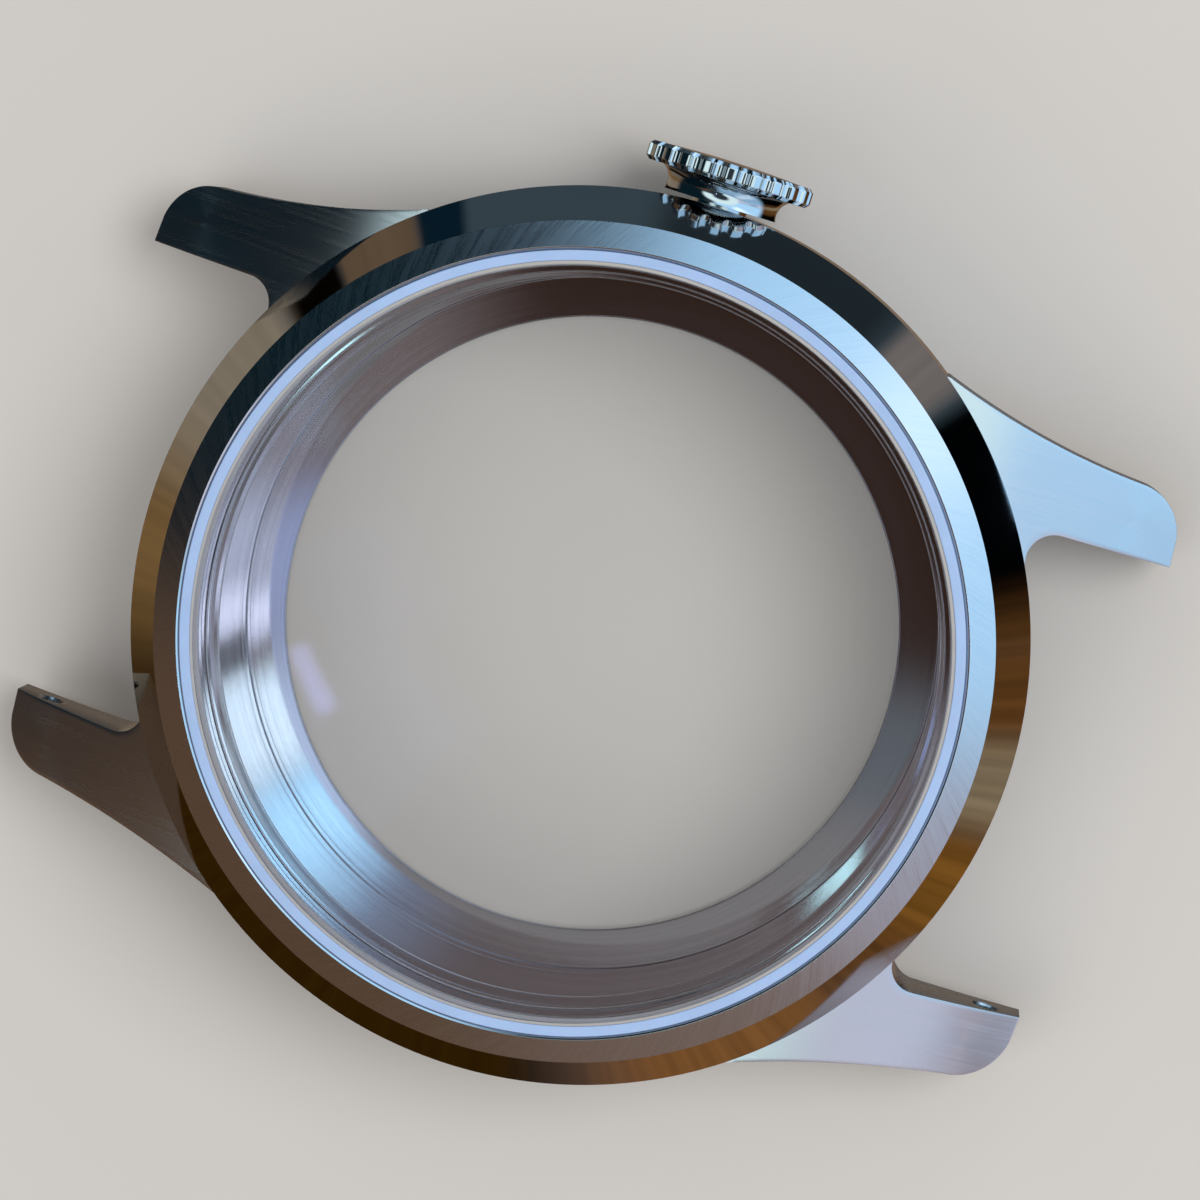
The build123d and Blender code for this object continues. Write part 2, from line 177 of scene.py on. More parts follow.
# Back
back_flange_height = foot_height
back_floor_rise = 0.35 * MM
back_lip_setback = 0.2 * MM
back_lip_wall = 0.35 * MM
back_lip_clearance = 0.05 * MM
back_window_step = 0.9 * MM
back_edge_chamfer = 0.25 * MM
pry_notch_width = 4.0 * MM
pry_notch_depth = 0.9 * MM
pry_notch_height = 0.3 * MM
seal_groove_inset = 0.65 * MM
seal_groove_width = 0.5 * MM
seal_groove_depth = 0.42 * MM
seal_section_radius = 0.2 * MM
seam_round = 0.02 * MM
floor_cove = 0.03 * MM
floor_fall = 0.015 * MM
ledge_rise = 0.01 * MM
back_floor_height = back_flange_height + back_floor_rise
back_lip_radius = movement_bore_radius + back_lip_setback
back_lip_outer_radius = back_lip_radius + back_lip_wall
back_bore_radius = back_lip_outer_radius + back_lip_clearance
back_window_radius = back_crystal_seat_radius - back_window_step
back_seal_radius = back_flange_radius - seal_groove_inset

# Crown, post and tube
tube_bore_radius = tube_radius - 0.3 * MM
rim_thickness = 0.9 * MM
crown_dome = 0.12 * MM
rim_edge_chamfer = 0.18 * MM
rim_face_round = 0.05 * MM
rim_side_round = 0.08 * MM
tooth_groove_radius = 0.3 * MM
tooth_groove_depth = 0.27 * MM
tooth_edge_round = 0.06 * MM
tooth_count = 21
neck_inset = 1.25 * MM
neck_waist_rise = 0.36 * MM
neck_waist_depth = 0.06 * MM
neck_flare = 0.37 * MM
crown_recess_play = 0.3 * MM
crown_recess_depth = 0.85 * MM
post_chamfer = 0.08 * MM
ring_groove_depth = 0.3 * MM
ring_groove_width = 0.42 * MM
ring_play = 0.02 * MM
ring_inset = 1.85 * MM
ring_spacing = 0.85 * MM
stem_hole_radius = 0.45 * MM
stem_hole_depth = 3.0 * MM
rim_outer_x = crown_outer_x - crown_dome
rim_inner_x = rim_outer_x - rim_thickness
neck_base_radius = rim_radius - neck_inset
second_ring_x = tube_outer_x - ring_inset
first_ring_x = second_ring_x - ring_spacing
ring_outer_radius = tube_bore_radius - ring_play
ring_inner_radius = post_radius - ring_groove_depth + ring_play
stem_hole_end_x = post_inner_x + stem_hole_depth

# Camera of the photograph, with its angles in degrees
camera_aim = Vector((2.016, -0.470, 9.15)) * MM
camera_distance = 192.62 * MM
camera_tilt = 6.592
camera_lean_azimuth = -27.50
camera_up_azimuth = 17.66
camera_lens = 127.5
camera_sensor = 36.0

# Stage
floor_size = 3.0
floor_drop = 0.02 * MM
tent_radius = 150 * MM
room_radius = 8.0
ball_segments = 96
ball_rings = 48
lamp_distance = 0.5
world_strength = 0.5


def linear(hex_colour):
    """The linear colour of an sRGB hex value, with full alpha."""
    shares = [int(hex_colour[start:start + 2], 16) / 255 for start in (1, 3, 5)]
    light = [share / 12.92 if share <= 0.04045 else ((share + 0.055) / 1.055) ** 2.4 for share in shares]
    return (*light, 1.0)


def length(name, description, default):
    """A size that a user can change."""
    return bpy.props.FloatProperty(
        name=name, description=description, default=default, min=0.0, precision=5, unit="LENGTH")


def colour(name, description, default):
    """A colour that a user can change, given as an sRGB hex value."""
    return bpy.props.FloatVectorProperty(
        name=name, description=description, default=linear(default),
        size=4, min=0.0, max=1.0, subtype="COLOR")


class WatchCaseSizes(bpy.types.PropertyGroup):
    """Sizes of the finish: edges, brush strokes and how finely the turned pieces are drawn."""

    turn_steps: bpy.props.IntProperty(
        name="Turn steps", description="Flat steps in one turn of a turned piece", default=288, min=24)
    bezel_edge_round: length("Bezel edge", "Rounding of the two outer edges of the bezel", 0.045 * MM)
    lug_edge_round: length("Lug edge", "Width of the polished bevel round the top of a lug", 0.12 * MM)
    brush_pitch: length("Brush pitch", "Width of one brush stroke on bezel and lugs", 0.11 * MM)
    brush_length: length("Brush length", "Length of one brush stroke", 1.6 * MM)
    turning_pitch: length("Turning pitch", "Distance of the fine grooves that turning leaves", 0.09 * MM)


class WatchCaseColours(bpy.types.PropertyGroup):
    """Colours of the materials and of the stage."""

    steel: colour("Steel", "Stainless steel of case, lugs, bezel, crown and back", "#c8cacc")
    # Pale nylon tinted lavender-blue: the paleness is the nylon's own, the blue tint is painted window light
    nylon: colour("Nylon", "Moulded nylon of the gaskets", "#a9c4ec")
    # The same nylon painted greyer: painted shade where it lies under the crystal's edge
    nylon_painted_shade: colour("Nylon painted shade", "Nylon where it shows through the crystal's edge", "#a9abb4")
    rubber: colour("Rubber", "Nitrile rubber of the sealing rings", "#1b1c1d")
    floor: colour("Floor", "Plain pale floor", "#d3cfca")
    backdrop: colour("Backdrop", "Pale background past the floor", "#dcdbd9")


# Kinds of node that come up most
MATH = "ShaderNodeMath"
VECTOR_MATH = "ShaderNodeVectorMath"
NOISE = "ShaderNodeTexNoise"
JOIN = "ShaderNodeCombineXYZ"
MAP_RANGE = "ShaderNodeMapRange"


def add(tree, kind, inputs=(), **settings):
    """Add one node with its settings, and set its inputs or link them from sockets or other nodes.

    The inputs are a row, or go by name or number. A node stands for its first output."""
    node = tree.nodes.new(kind)
    for name, value in settings.items():
        setattr(node, name, value)
    for key, value in inputs.items() if isinstance(inputs, dict) else enumerate(inputs):
        if isinstance(value, bpy.types.Node):
            value = value.outputs[0]
        if isinstance(value, bpy.types.NodeSocket):
            tree.links.new(value, node.inputs[key])
        else:
            node.inputs[key].default_value = value
    return node


# Noise mostly runs between these two values
noise_range = (0.3, 0.7)

# Grains to the metre: clouds of wear on polished steel, smears on a crystal, mould grain and clouds of
# nylon, pits of rubber and mottle of the floor
wear_scale = 250.0
smear_scale = 180.0
nylon_grain_scale = 9000.0
nylon_cloud_scale = 400.0
rubber_pit_scale = 7000.0
floor_mottle_scale = 60.0

# Strokes of a tool: turn from the bezel's radius to its edge, height, and the coarser strokes among the fine
brush_slant = 1.0
stroke_height = 0.0016 * MM
coarse_pitch = 3.3
coarse_reach = 1.7
coarse_share = 0.45
round_stretch = 0.25

# Refractive indices
sapphire_ior = 1.77
mineral_glass_ior = 1.52
nylon_ior = 1.53
rubber_ior = 1.52


def new_material(name):
    """An empty node material and its tree."""
    material = bpy.data.materials.new(name)
    material.use_nodes = True
    material.node_tree.nodes.clear()
    return material, material.node_tree


def finish_material(tree, inputs):
    """End a material with its shader."""
    add(tree, "ShaderNodeOutputMaterial", (add(tree, "ShaderNodeBsdfPrincipled", inputs),))


def grain(tree, scale, detail, roughness=0.5):
    """Noise on the object's own coordinates, with about so many grains to the metre."""
    place = add(tree, "ShaderNodeTexCoord").outputs["Object"]
    return add(tree, NOISE, {"Vector": place, "Scale": scale, "Detail": detail, "Roughness": roughness})


def shaded(tree, base, noise, darkest, lightest):
    """A colour made darker or lighter by a noise."""
    share = add(tree, MAP_RANGE, (noise, *noise_range, darkest, lightest))
    return add(tree, VECTOR_MATH, (base[:3], share), operation="MULTIPLY")


def stroke_place(tree, lay, pitch, reach):
    """Object coordinates stretched so that noise on them makes strokes of one pitch and reach.

    The lay says how the tool ran: radial across the bezel, along a lug, around the case's axis, or round
    the axis of the crown."""
    place = add(tree, "ShaderNodeTexCoord").outputs["Object"]
    x, y, z = add(tree, "ShaderNodeSeparateXYZ", (place,)).outputs
    if lay == "along":
        along = add(tree, MATH, (y,), operation="ABSOLUTE")
        spoke = (add(tree, JOIN, (along, z)), (*lug_top_centre, 0.0))
        layer = add(tree, VECTOR_MATH, spoke, operation="DISTANCE").outputs["Value"]
        strokes, scale = (x, along, layer), (1 / pitch, 1 / reach, 1 / pitch)
    else:
        if lay == "crown":
            x, y, z = y, add(tree, MATH, (z, crown_height), operation="SUBTRACT"), x
        radius = add(tree, VECTOR_MATH, (add(tree, JOIN, (x, y)),), operation="LENGTH").outputs["Value"]
        angle = add(tree, MATH, (y, x), operation="ARCTAN2")
        if lay == "radial":
            slanted = add(tree, MATH, (radius, brush_slant / case_radius, angle), operation="MULTIPLY_ADD")
            across = add(tree, MATH, (slanted,), operation="COSINE")
            upward = add(tree, MATH, (slanted,), operation="SINE")
            strokes, scale = (across, upward, radius), (case_radius / pitch, case_radius / pitch, 1 / reach)
        else:
            turn = add(tree, MATH, (angle,), operation="COSINE")
            strokes, scale = (radius, z, turn), (1 / pitch, 1 / pitch, round_stretch)
    return add(tree, VECTOR_MATH, (add(tree, JOIN, strokes), scale), operation="MULTIPLY")


def steel(name, roughness, lay=None, pitch=0.0, reach=0.0, anisotropy=0.0, relief=1.0, tone=0.1):
    """Stainless steel: a metal whose roughness and fine relief come from how its surface was worked.

    Without a lay it is polished: a mirror with faint clouds of wear."""
    material, tree = new_material(name)
    base = bpy.context.scene.watch_case_colours.steel
    if not lay:
        clouds = grain(tree, wear_scale, 3.0)
        finish_material(tree, {
            "Metallic": 1.0,
            "Base Color": shaded(tree, base, clouds, 0.97, 1.0),
            "Roughness": add(tree, MAP_RANGE, (clouds, *noise_range, roughness * 0.7, roughness * 1.4)),
        })
        return material
    fine = add(tree, NOISE, {"Vector": stroke_place(tree, lay, pitch, reach), "Scale": 1.0, "Detail": 2.0})
    broad = stroke_place(tree, lay, pitch * coarse_pitch, reach * coarse_reach)
    coarse = add(tree, NOISE, {"Vector": broad, "Scale": 1.0, "Detail": 1.0})
    fine_part = add(tree, MATH, (fine, 1 - coarse_share), operation="MULTIPLY")
    both = add(tree, MATH, (coarse, coarse_share, fine_part), operation="MULTIPLY_ADD")
    axis = {"radial": "Z", "around": "Z", "along": "Y", "crown": "X"}[lay]
    finish_material(tree, {
        "Metallic": 1.0,
        "Base Color": shaded(tree, base, both, 1 - tone, 1 + tone * 0.7),
        "Roughness": add(tree, MAP_RANGE, (both, *noise_range, roughness * 0.8, roughness * 1.25)),
        "Normal": add(tree, "ShaderNodeBump", {
            "Strength": 0.5, "Distance": stroke_height * relief, "Height": both}),
        "Anisotropic": anisotropy,
        "Anisotropic Rotation": 0.25 if lay in ("around", "crown") else 0.0,
        "Tangent": add(tree, "ShaderNodeTangent", direction_type="RADIAL", axis=axis),
    })
    return material


@cache
def polished_steel():
    """Polished stainless steel: buffed to a mirror, it takes the colours of what stands round it."""
    return steel("polished stainless steel", 0.05)


@cache
def brushed_bezel_steel():
    """Radially brushed stainless steel: slanting strokes spread reflections round the bezel."""
    sizes = bpy.context.scene.watch_case_sizes
    return steel("radially brushed stainless steel", 0.28, "radial", sizes.brush_pitch, sizes.brush_length,
                 anisotropy=0.6, relief=0.5, tone=0.05)


@cache
def brushed_lug_steel():
    """Stainless steel brushed along the lug: fine lines that spread reflections sideways."""
    sizes = bpy.context.scene.watch_case_sizes
    return steel("lengthwise brushed stainless steel", 0.24, "along", sizes.brush_pitch * 0.6,
                 sizes.brush_length * 3, anisotropy=0.6, relief=0.07, tone=0.03)


@cache
def turned_steel():
    """Fine turned stainless steel: grooves round the axis that draw reflections out along it."""
    pitch = bpy.context.scene.watch_case_sizes.turning_pitch
    return steel("turned stainless steel", 0.05, "around", pitch, pitch, anisotropy=0.3, relief=0.03)


@cache
def turned_crown_steel():
    """Stainless steel turned about the crown's axis: a satin sheen on the tube and the post."""
    pitch = bpy.context.scene.watch_case_sizes.turning_pitch
    return steel("turned steel of the crown parts", 0.18, "crown", pitch, pitch, anisotropy=0.5, relief=0.7)


@cache
def crystal(name, ior):
    """Polished clear crystal: its anti-reflex coating leaves only a faint bluish mirror image."""
    material, tree = new_material(name)
    smears = grain(tree, smear_scale, 4.0, 0.6)
    finish_material(tree, {
        "Base Color": linear("#fbfcfd"),
        "Roughness": add(tree, MAP_RANGE, (smears, *noise_range, 0.0, 0.02)),
        "IOR": ior,
        "Specular Tint": linear("#5a5e70"),
        "Transmission Weight": 1.0,
    })
    return material


@cache
def nylon(name, colour_name):
    """Moulded nylon: pale, a little milky, with a fine satin grain from the mould."""
    material, tree = new_material(name)
    # The colour given carries painted light: a painted blue tint of window light on the gaskets, and a greyer
    # painted shade under the crystal
    base = getattr(bpy.context.scene.watch_case_colours, colour_name)
    mould = grain(tree, nylon_grain_scale, 2.0)
    finish_material(tree, {
        "Base Color": shaded(tree, base, grain(tree, nylon_cloud_scale, 3.0), 0.95, 1.04),
        "Roughness": add(tree, MAP_RANGE, (mould, *noise_range, 0.38, 0.5)),
        "IOR": nylon_ior,
        "Subsurface Weight": 0.2,
        "Subsurface Scale": 0.3 * MM,
        "Normal": add(tree, "ShaderNodeBump", {"Strength": 0.3, "Distance": 0.004 * MM, "Height": mould}),
    })
    return material


@cache
def rubber():
    """Nitrile rubber: matt black with the fine pits of the mould."""
    material, tree = new_material("nitrile rubber")
    pits = grain(tree, rubber_pit_scale, 3.0)
    finish_material(tree, {
        "Base Color": shaded(tree, bpy.context.scene.watch_case_colours.rubber, pits, 0.8, 1.2),
        "Roughness": add(tree, MAP_RANGE, (pits, *noise_range, 0.5, 0.7)),
        "IOR": rubber_ior,
        "Normal": add(tree, "ShaderNodeBump", {"Strength": 0.4, "Distance": 0.005 * MM, "Height": pits}),
    })
    return material


# Points nearer to each other than this become one where a turned piece closes
weld_distance = 0.0002 * MM


def new_tree(name, *counts):
    """A Geometry Nodes tree that takes a geometry, some whole numbers and a material, and its sockets."""
    tree = bpy.data.node_groups.new(name, "GeometryNodeTree")
    whole_numbers = dict.fromkeys(counts, "NodeSocketInt")
    kinds = {"Geometry": "NodeSocketGeometry", **whole_numbers, "Material": "NodeSocketMaterial"}
    for label, kind in kinds.items():
        tree.interface.new_socket(label, in_out="INPUT", socket_type=kind)
    tree.interface.new_socket("Geometry", in_out="OUTPUT", socket_type="NodeSocketGeometry")
    return tree, add(tree, "NodeGroupInput").outputs, add(tree, "NodeGroupOutput").inputs


def finish_tree(tree, geometry, material, result):
    """End a tree: weld the seams, shade it smooth, realize the instances and set the material."""
    realized = add(tree, "GeometryNodeRealizeInstances", (geometry,))
    welded = add(tree, "GeometryNodeMergeByDistance", {"Geometry": realized, "Distance": weld_distance})
    smooth = add(tree, "GeometryNodeSetShadeSmooth", (welded,))
    whole = add(tree, "GeometryNodeRealizeInstances", (smooth,))
    painted = add(tree, "GeometryNodeSetMaterial", {"Geometry": whole, "Material": material})
    tree.links.new(painted.outputs[0], result[0])


@cache
def turned_piece_tree():
    """Turns a section, a row of points at (radius, 0, height), about the Z axis on a grid."""
    tree, given, result = new_tree("Turned Piece", "Steps", "Closed Section")
    section, steps = given[0], given["Steps"]
    count = add(tree, "GeometryNodeAttributeDomainSize", (section,), component="MESH")
    rows = add(tree, MATH, (count, given["Closed Section"]), operation="ADD")
    columns = add(tree, MATH, (steps, 1.0), operation="ADD")
    grid = add(tree, "GeometryNodeMeshGrid", {"Vertices X": rows, "Vertices Y": columns})
    index = add(tree, "GeometryNodeInputIndex")
    half_past = add(tree, MATH, (index, 0.5), operation="ADD")
    row = add(tree, MATH, (add(tree, MATH, (half_past, columns), operation="DIVIDE"),), operation="FLOOR")
    before = add(tree, MATH, (row, columns), operation="MULTIPLY")
    column = add(tree, MATH, (index, before), operation="SUBTRACT")
    step = add(tree, MATH, (column, steps), operation="MODULO")
    whole_turns = add(tree, MATH, (step, 2 * pi), operation="MULTIPLY")
    turn = add(tree, MATH, (whole_turns, steps), operation="DIVIDE")
    point = add(tree, "GeometryNodeSampleIndex", {
        "Geometry": section,
        "Value": add(tree, "GeometryNodeInputPosition"),
        "Index": add(tree, MATH, (row, count), operation="MODULO"),
    }, data_type="FLOAT_VECTOR", domain="POINT")
    radius, _, height = add(tree, "ShaderNodeSeparateXYZ", (point,)).outputs
    across = add(tree, MATH, (radius, add(tree, MATH, (turn,), operation="COSINE")), operation="MULTIPLY")
    upward = add(tree, MATH, (radius, add(tree, MATH, (turn,), operation="SINE")), operation="MULTIPLY")
    place = add(tree, JOIN, (across, upward, height))
    moved = add(tree, "GeometryNodeSetPosition", {"Geometry": grid, "Position": place})
    finish_tree(tree, moved, given["Material"], result)
    return tree


@cache
def toothed_wheel_tree():
    """Repeats one sector of a wheel round the Z axis, one for each tooth, and welds the sectors."""
    tree, given, result = new_tree("Toothed Wheel", "Teeth")
    points = add(tree, "GeometryNodePoints", {"Count": given["Teeth"]})
    whole_turns = add(tree, MATH, (add(tree, "GeometryNodeInputIndex"), 2 * pi), operation="MULTIPLY")
    turn = add(tree, MATH, (whole_turns, given["Teeth"]), operation="DIVIDE")
    sectors = add(tree, "GeometryNodeInstanceOnPoints", {
        "Points": points, "Instance": given[0], "Rotation": add(tree, JOIN, {2: turn})})
    finish_tree(tree, sectors, given["Material"], result)
    return tree


def new_object(name, points, faces=()):
    """A mesh object at the origin, linked to the scene."""
    mesh = bpy.data.meshes.new(name)
    mesh.from_pydata([tuple(point) for point in points], [], list(faces))
    made_object = bpy.data.objects.new(name, mesh)
    bpy.context.scene.collection.objects.link(made_object)
    return made_object


def apply_modifiers(piece):
    """Turn the evaluated mesh of a piece into its own plain mesh."""
    graph = bpy.context.evaluated_depsgraph_get()
    plain = bpy.data.meshes.new_from_object(piece.evaluated_get(graph))
    plain.name = piece.name
    piece.modifiers.clear()
    piece.data = plain
    return piece


def grow(piece, tree, inputs):
    """Run a Geometry Nodes tree on a piece and keep the result as its mesh."""
    modifier = piece.modifiers.new(tree.name, "NODES")
    modifier.node_group = tree
    for item in tree.interface.items_tree:
        if item.in_out == "INPUT" and item.name in inputs:
            modifier[item.identifier] = inputs[item.name]
    apply_modifiers(piece)


# An edge that turns by more than this stays sharp
crease_angle = radians(32)


def crease(piece):
    """Shade a piece smooth up to its creases."""
    piece.data.shade_smooth()
    piece.data.set_sharp_from_angle(angle=crease_angle)


def tidy_mesh(piece):
    """Turn all faces outwards and mark the creases."""
    shape = bmesh.new()
    shape.from_mesh(piece.data)
    bmesh.ops.recalc_face_normals(shape, faces=shape.faces)
    shape.to_mesh(piece.data)
    shape.free()
    crease(piece)
    return piece


def cut(piece, tool):
    """Cut a piece with a closed tool mesh, which is then removed."""
    modifier = piece.modifiers.new("Cut", "BOOLEAN")
    modifier.operation = "DIFFERENCE"
    modifier.solver = "EXACT"
    modifier.object = tool
    apply_modifiers(piece)
    bpy.data.objects.remove(tool)
    crease(piece)


# A rounded corner: steps of its arc, the point beside it, and how much of its shorter side each may take
arc_steps = 4
support_gap = 0.03 * MM
arc_share = 0.4
support_share = 0.08


def rounded(corners, closed=True):
    """Points of a section whose corners, given as (radius, height, rounding), are small arcs.

    A point beside each end of an arc keeps the shading of the flats true, so that they mirror cleanly."""
    points = []
    for index, (radius, height, rounding) in enumerate(corners):
        here = Vector((radius, height))
        if not rounding or not closed and index in (0, len(corners) - 1):
            points.append(here)
            continue
        back = Vector(corners[index - 1][:2]) - here
        ahead = Vector(corners[(index + 1) % len(corners)][:2]) - here
        half_angle = back.angle(ahead) / 2
        shortest = min(back.length, ahead.length)
        reach = min(rounding / tan(half_angle), shortest * arc_share)
        arc_radius = reach * tan(half_angle)
        back.normalize()
        ahead.normalize()
        centre = here + (back + ahead).normalized() * (arc_radius / sin(half_angle))
        gap = min(support_gap, shortest * support_share)
        points.append(here + back * (reach + gap))
        start = here + back * reach - centre
        end = here + ahead * reach - centre
        turn = start.angle(end)
        for step in range(arc_steps + 1):
            share = step / arc_steps
            points.append(centre + (start * sin((1 - share) * turn) + end * sin(share * turn)) / sin(turn))
        points.append(here + ahead * (reach + gap))
    return points


# Turns the Z axis onto the X axis, which the crown's axis is parallel to
ONTO_CROWN_AXIS = Matrix(((0, 0, 1, 0), (1, 0, 0, 0), (0, 1, 0, 0), (0, 0, 0, 1)))


def turned(name, corners, material, steps=None, crown=False):
    """A piece turned from its section, about the case axis or about the crown's axis.

    A section that starts on the axis ends there too, and any other is closed."""
    closed = corners[0][0] > 0
    section = rounded(corners, closed)
    piece = new_object(name, [(point.x, 0.0, point.y) for point in section])
    grow(piece, turned_piece_tree(), {
        "Steps": steps or bpy.context.scene.watch_case_sizes.turn_steps,
        "Closed Section": int(closed),
        "Material": material,
    })
    if crown:
        piece.data.transform(Matrix.Translation((0, 0, crown_height)) @ ONTO_CROWN_AXIS)
    return tidy_mesh(piece)


def ring_section(inner, outer, bottom, top, rounding):
    """Section of a plain ring."""
    corners = ((inner, bottom), (outer, bottom), (outer, top), (inner, top))
    return [(radius, height, rounding) for radius, height in corners]


def disc_section(radius, bottom, top, rounding):
    """Section of a plain disc."""
    return [(0, bottom, 0), (radius, bottom, rounding), (radius, top, rounding), (0, top, 0)]


# Steps round the section of a sealing ring, and round the bores and the pieces on the crown's axis
cord_steps = 24
bore_steps = 64
crown_steps = 96


def cord_section(radius, height, section_radius):
    """Round section of a sealing ring, as corners without rounding."""
    turns = [2 * pi * step / cord_steps for step in range(cord_steps)]
    return [(radius + section_radius * cos(turn), height + section_radius * sin(turn), 0) for turn in turns]


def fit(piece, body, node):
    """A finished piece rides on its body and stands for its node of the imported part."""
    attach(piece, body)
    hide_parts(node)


def add_material(piece, material, belongs):
    """Give a second material to the faces of a piece that pass a test of their centre and normal."""
    piece.data.materials.append(material)
    number = len(piece.data.materials) - 1
    for face in piece.data.polygons:
        if belongs(face.center, face.normal):
            face.material_index = number


def circle_centre(first, middle, last):
    """Centre of the circle through three points of a plane."""
    (x1, y1), (x2, y2), (x3, y3) = first, middle, last
    double = 2 * (x1 * (y2 - y3) + x2 * (y3 - y1) + x3 * (y1 - y2))
    s1, s2, s3 = [x * x + y * y for x, y in (first, middle, last)]
    return Vector((
        (s1 * (y2 - y3) + s2 * (y3 - y1) + s3 * (y1 - y2)) / double,
        (s1 * (x3 - x2) + s2 * (x1 - x3) + s3 * (x2 - x1)) / double,
    ))


def arc_through(first, middle, last, steps):
    """Points of the arc from first to last through middle, given in a plane."""
    centre = circle_centre(first, middle, last)
    start = Vector(first) - centre
    middle_turn = start.angle_signed(Vector(middle) - centre)
    turn = start.angle_signed(Vector(last) - centre)
    if middle_turn * turn < 0:
        turn -= 2 * pi * (1 if turn > 0 else -1)
    return [centre + Matrix.Rotation(-turn * step / steps, 2) @ start for step in range(steps + 1)]


def grid_faces(rows, columns, first=0):
    """Faces of a grid of points in rows, from the number of its first point."""
    wide = columns + 1
    corners = [first + row * wide + column for row in range(rows) for column in range(columns)]
    return [(corner, corner + 1, corner + wide + 1, corner + wide) for corner in corners]


def even(points, count):
    """The same line with evenly spaced points."""
    lengths = [0.0]
    for before, after in zip(points, points[1:]):
        lengths.append(lengths[-1] + (after - before).length)
    spaced = []
    place = 0
    for number in range(count):
        wanted = lengths[-1] * number / (count - 1)
        while place < len(points) - 2 and lengths[place + 1] < wanted:
            place += 1
        share = (wanted - lengths[place]) / (lengths[place + 1] - lengths[place])
        spaced.append(points[place].lerp(points[place + 1], min(max(share, 0.0), 1.0)))
    return spaced


# Grid of a lug, steps of the arcs in its plan, and how fast the bow of its seat fades towards the tip
lug_rows = 72
lug_columns = 18
outer_steps = 40
tip_steps = 24
root_steps = 16
bow_fade = 3

# Least angle of a bevelled edge, steps of its bevel, and the drill point of a hole as a share of its radius
bevelled_angle = radians(50)
bevel_segments = 3
drill_point_share = 0.4


def lug_plan():
    """Plan of the lug at 1 o'clock: its strap side, its outer side and its seat on the case, as points."""
    waist = Vector((lug_inner_x + waist_width, 0))
    waist.y = sqrt(case_radius ** 2 - waist.x ** 2) + waist_reach
    tail = Vector((lug_outer_x, lug_tail_y))
    shoulder = Vector((waist.x - shoulder_step, lug_tip_y - shoulder_distance))
    tip_round = Vector((shoulder.x - tip_round_step, lug_tip_y - tip_round_distance))
    tip_end = Vector((tip_round.x - tip_end_step, lug_tip_y - tip_end_drop))
    outer = arc_through(tail, waist, shoulder, outer_steps)
    outer += arc_through(shoulder, tip_round, tip_end, tip_steps)[1:]
    root_centre = Vector((lug_inner_x - root_fillet, 0))
    root_centre.y = sqrt((case_radius + root_fillet) ** 2 - root_centre.x ** 2)
    root = root_centre * (case_radius / (case_radius + root_fillet))
    middle_angle = asin(root_centre.y / (case_radius + root_fillet)) / 2
    root_middle = root_centre + Vector((cos(middle_angle), -sin(middle_angle))) * root_fillet
    strap = arc_through(root, root_middle, (lug_inner_x, root_centre.y), root_steps)
    strap.append(Vector((lug_inner_x, lug_tip_y)))
    first, last = asin(root.y / case_radius), asin(tail.y / case_radius)
    seat = []
    for column in range(lug_columns + 1):
        angle = first + (last - first) * column / lug_columns
        seat.append(Vector((cos(angle), sin(angle))) * (case_radius - lug_sink))
    strap[0] = seat[0]
    outer[0] = seat[-1]
    return even(strap, lug_rows + 1), even(outer, lug_rows + 1), seat


def height_on_arc(start, middle, end):
    """A function that gives the height at a distance y on an arc, and stays level before its start."""
    centre = circle_centre(start, middle, end)
    radius = (Vector(middle) - centre).length
    side = 1 if middle[1] > centre.y else -1
    return lambda y: centre.y + side * sqrt(max(radius ** 2 - (max(y, start[0]) - centre.x) ** 2, 0.0))


def lug_block(name, side_x, side_y):
    """Body of a lug: a grid over its plan, lifted to the arcs of top and belly, with walls between."""
    strap, outer, seat = lug_plan()
    points = []
    for height in (height_on_arc(*lug_top_arc), height_on_arc(*lug_belly_arc)):
        for row in range(lug_rows + 1):
            along = row / lug_rows
            for column in range(lug_columns + 1):
                across = column / lug_columns
                bow = seat[column] - seat[0].lerp(seat[-1], across)
                plan = strap[row].lerp(outer[row], across) + bow * (1 - along) ** bow_fade
                points.append((plan.x * side_x, plan.y * side_y, height(plan.y)))
    wide = lug_columns + 1
    sheet = wide * (lug_rows + 1)
    faces = grid_faces(lug_rows, lug_columns) + grid_faces(lug_rows, lug_columns, sheet)
    border = list(range(wide))
    border += [row * wide + lug_columns for row in range(1, lug_rows + 1)]
    border += [lug_rows * wide + column for column in range(lug_columns - 1, -1, -1)]
    border += [row * wide for row in range(lug_rows - 1, 0, -1)]
    for before, after in zip(border, border[1:] + border[:1]):
        faces.append((before, after, after + sheet, before + sheet))
    lug = new_object(name, points, faces)
    lug.data.materials.append(brushed_lug_steel())
    return tidy_mesh(lug)


def bevel_lug(lug):
    """Bevel the edges of a lug that aren't sunk in the case."""
    shape = bmesh.new()
    shape.from_mesh(lug.data)
    weight = shape.edges.layers.float.new("bevel_weight_edge")
    for edge in shape.edges:
        middle = (edge.verts[0].co + edge.verts[1].co) / 2
        if edge.calc_face_angle(0.0) > bevelled_angle and middle.xy.length > case_radius + lug_sink:
            edge[weight] = 1.0
    shape.to_mesh(lug.data)
    shape.free()
    bevel = lug.modifiers.new("Edges", "BEVEL")
    bevel.limit_method = "WEIGHT"
    bevel.width = bpy.context.scene.watch_case_sizes.lug_edge_round
    bevel.segments = bevel_segments
    bevel.use_clamp_overlap = True
    apply_modifiers(lug)


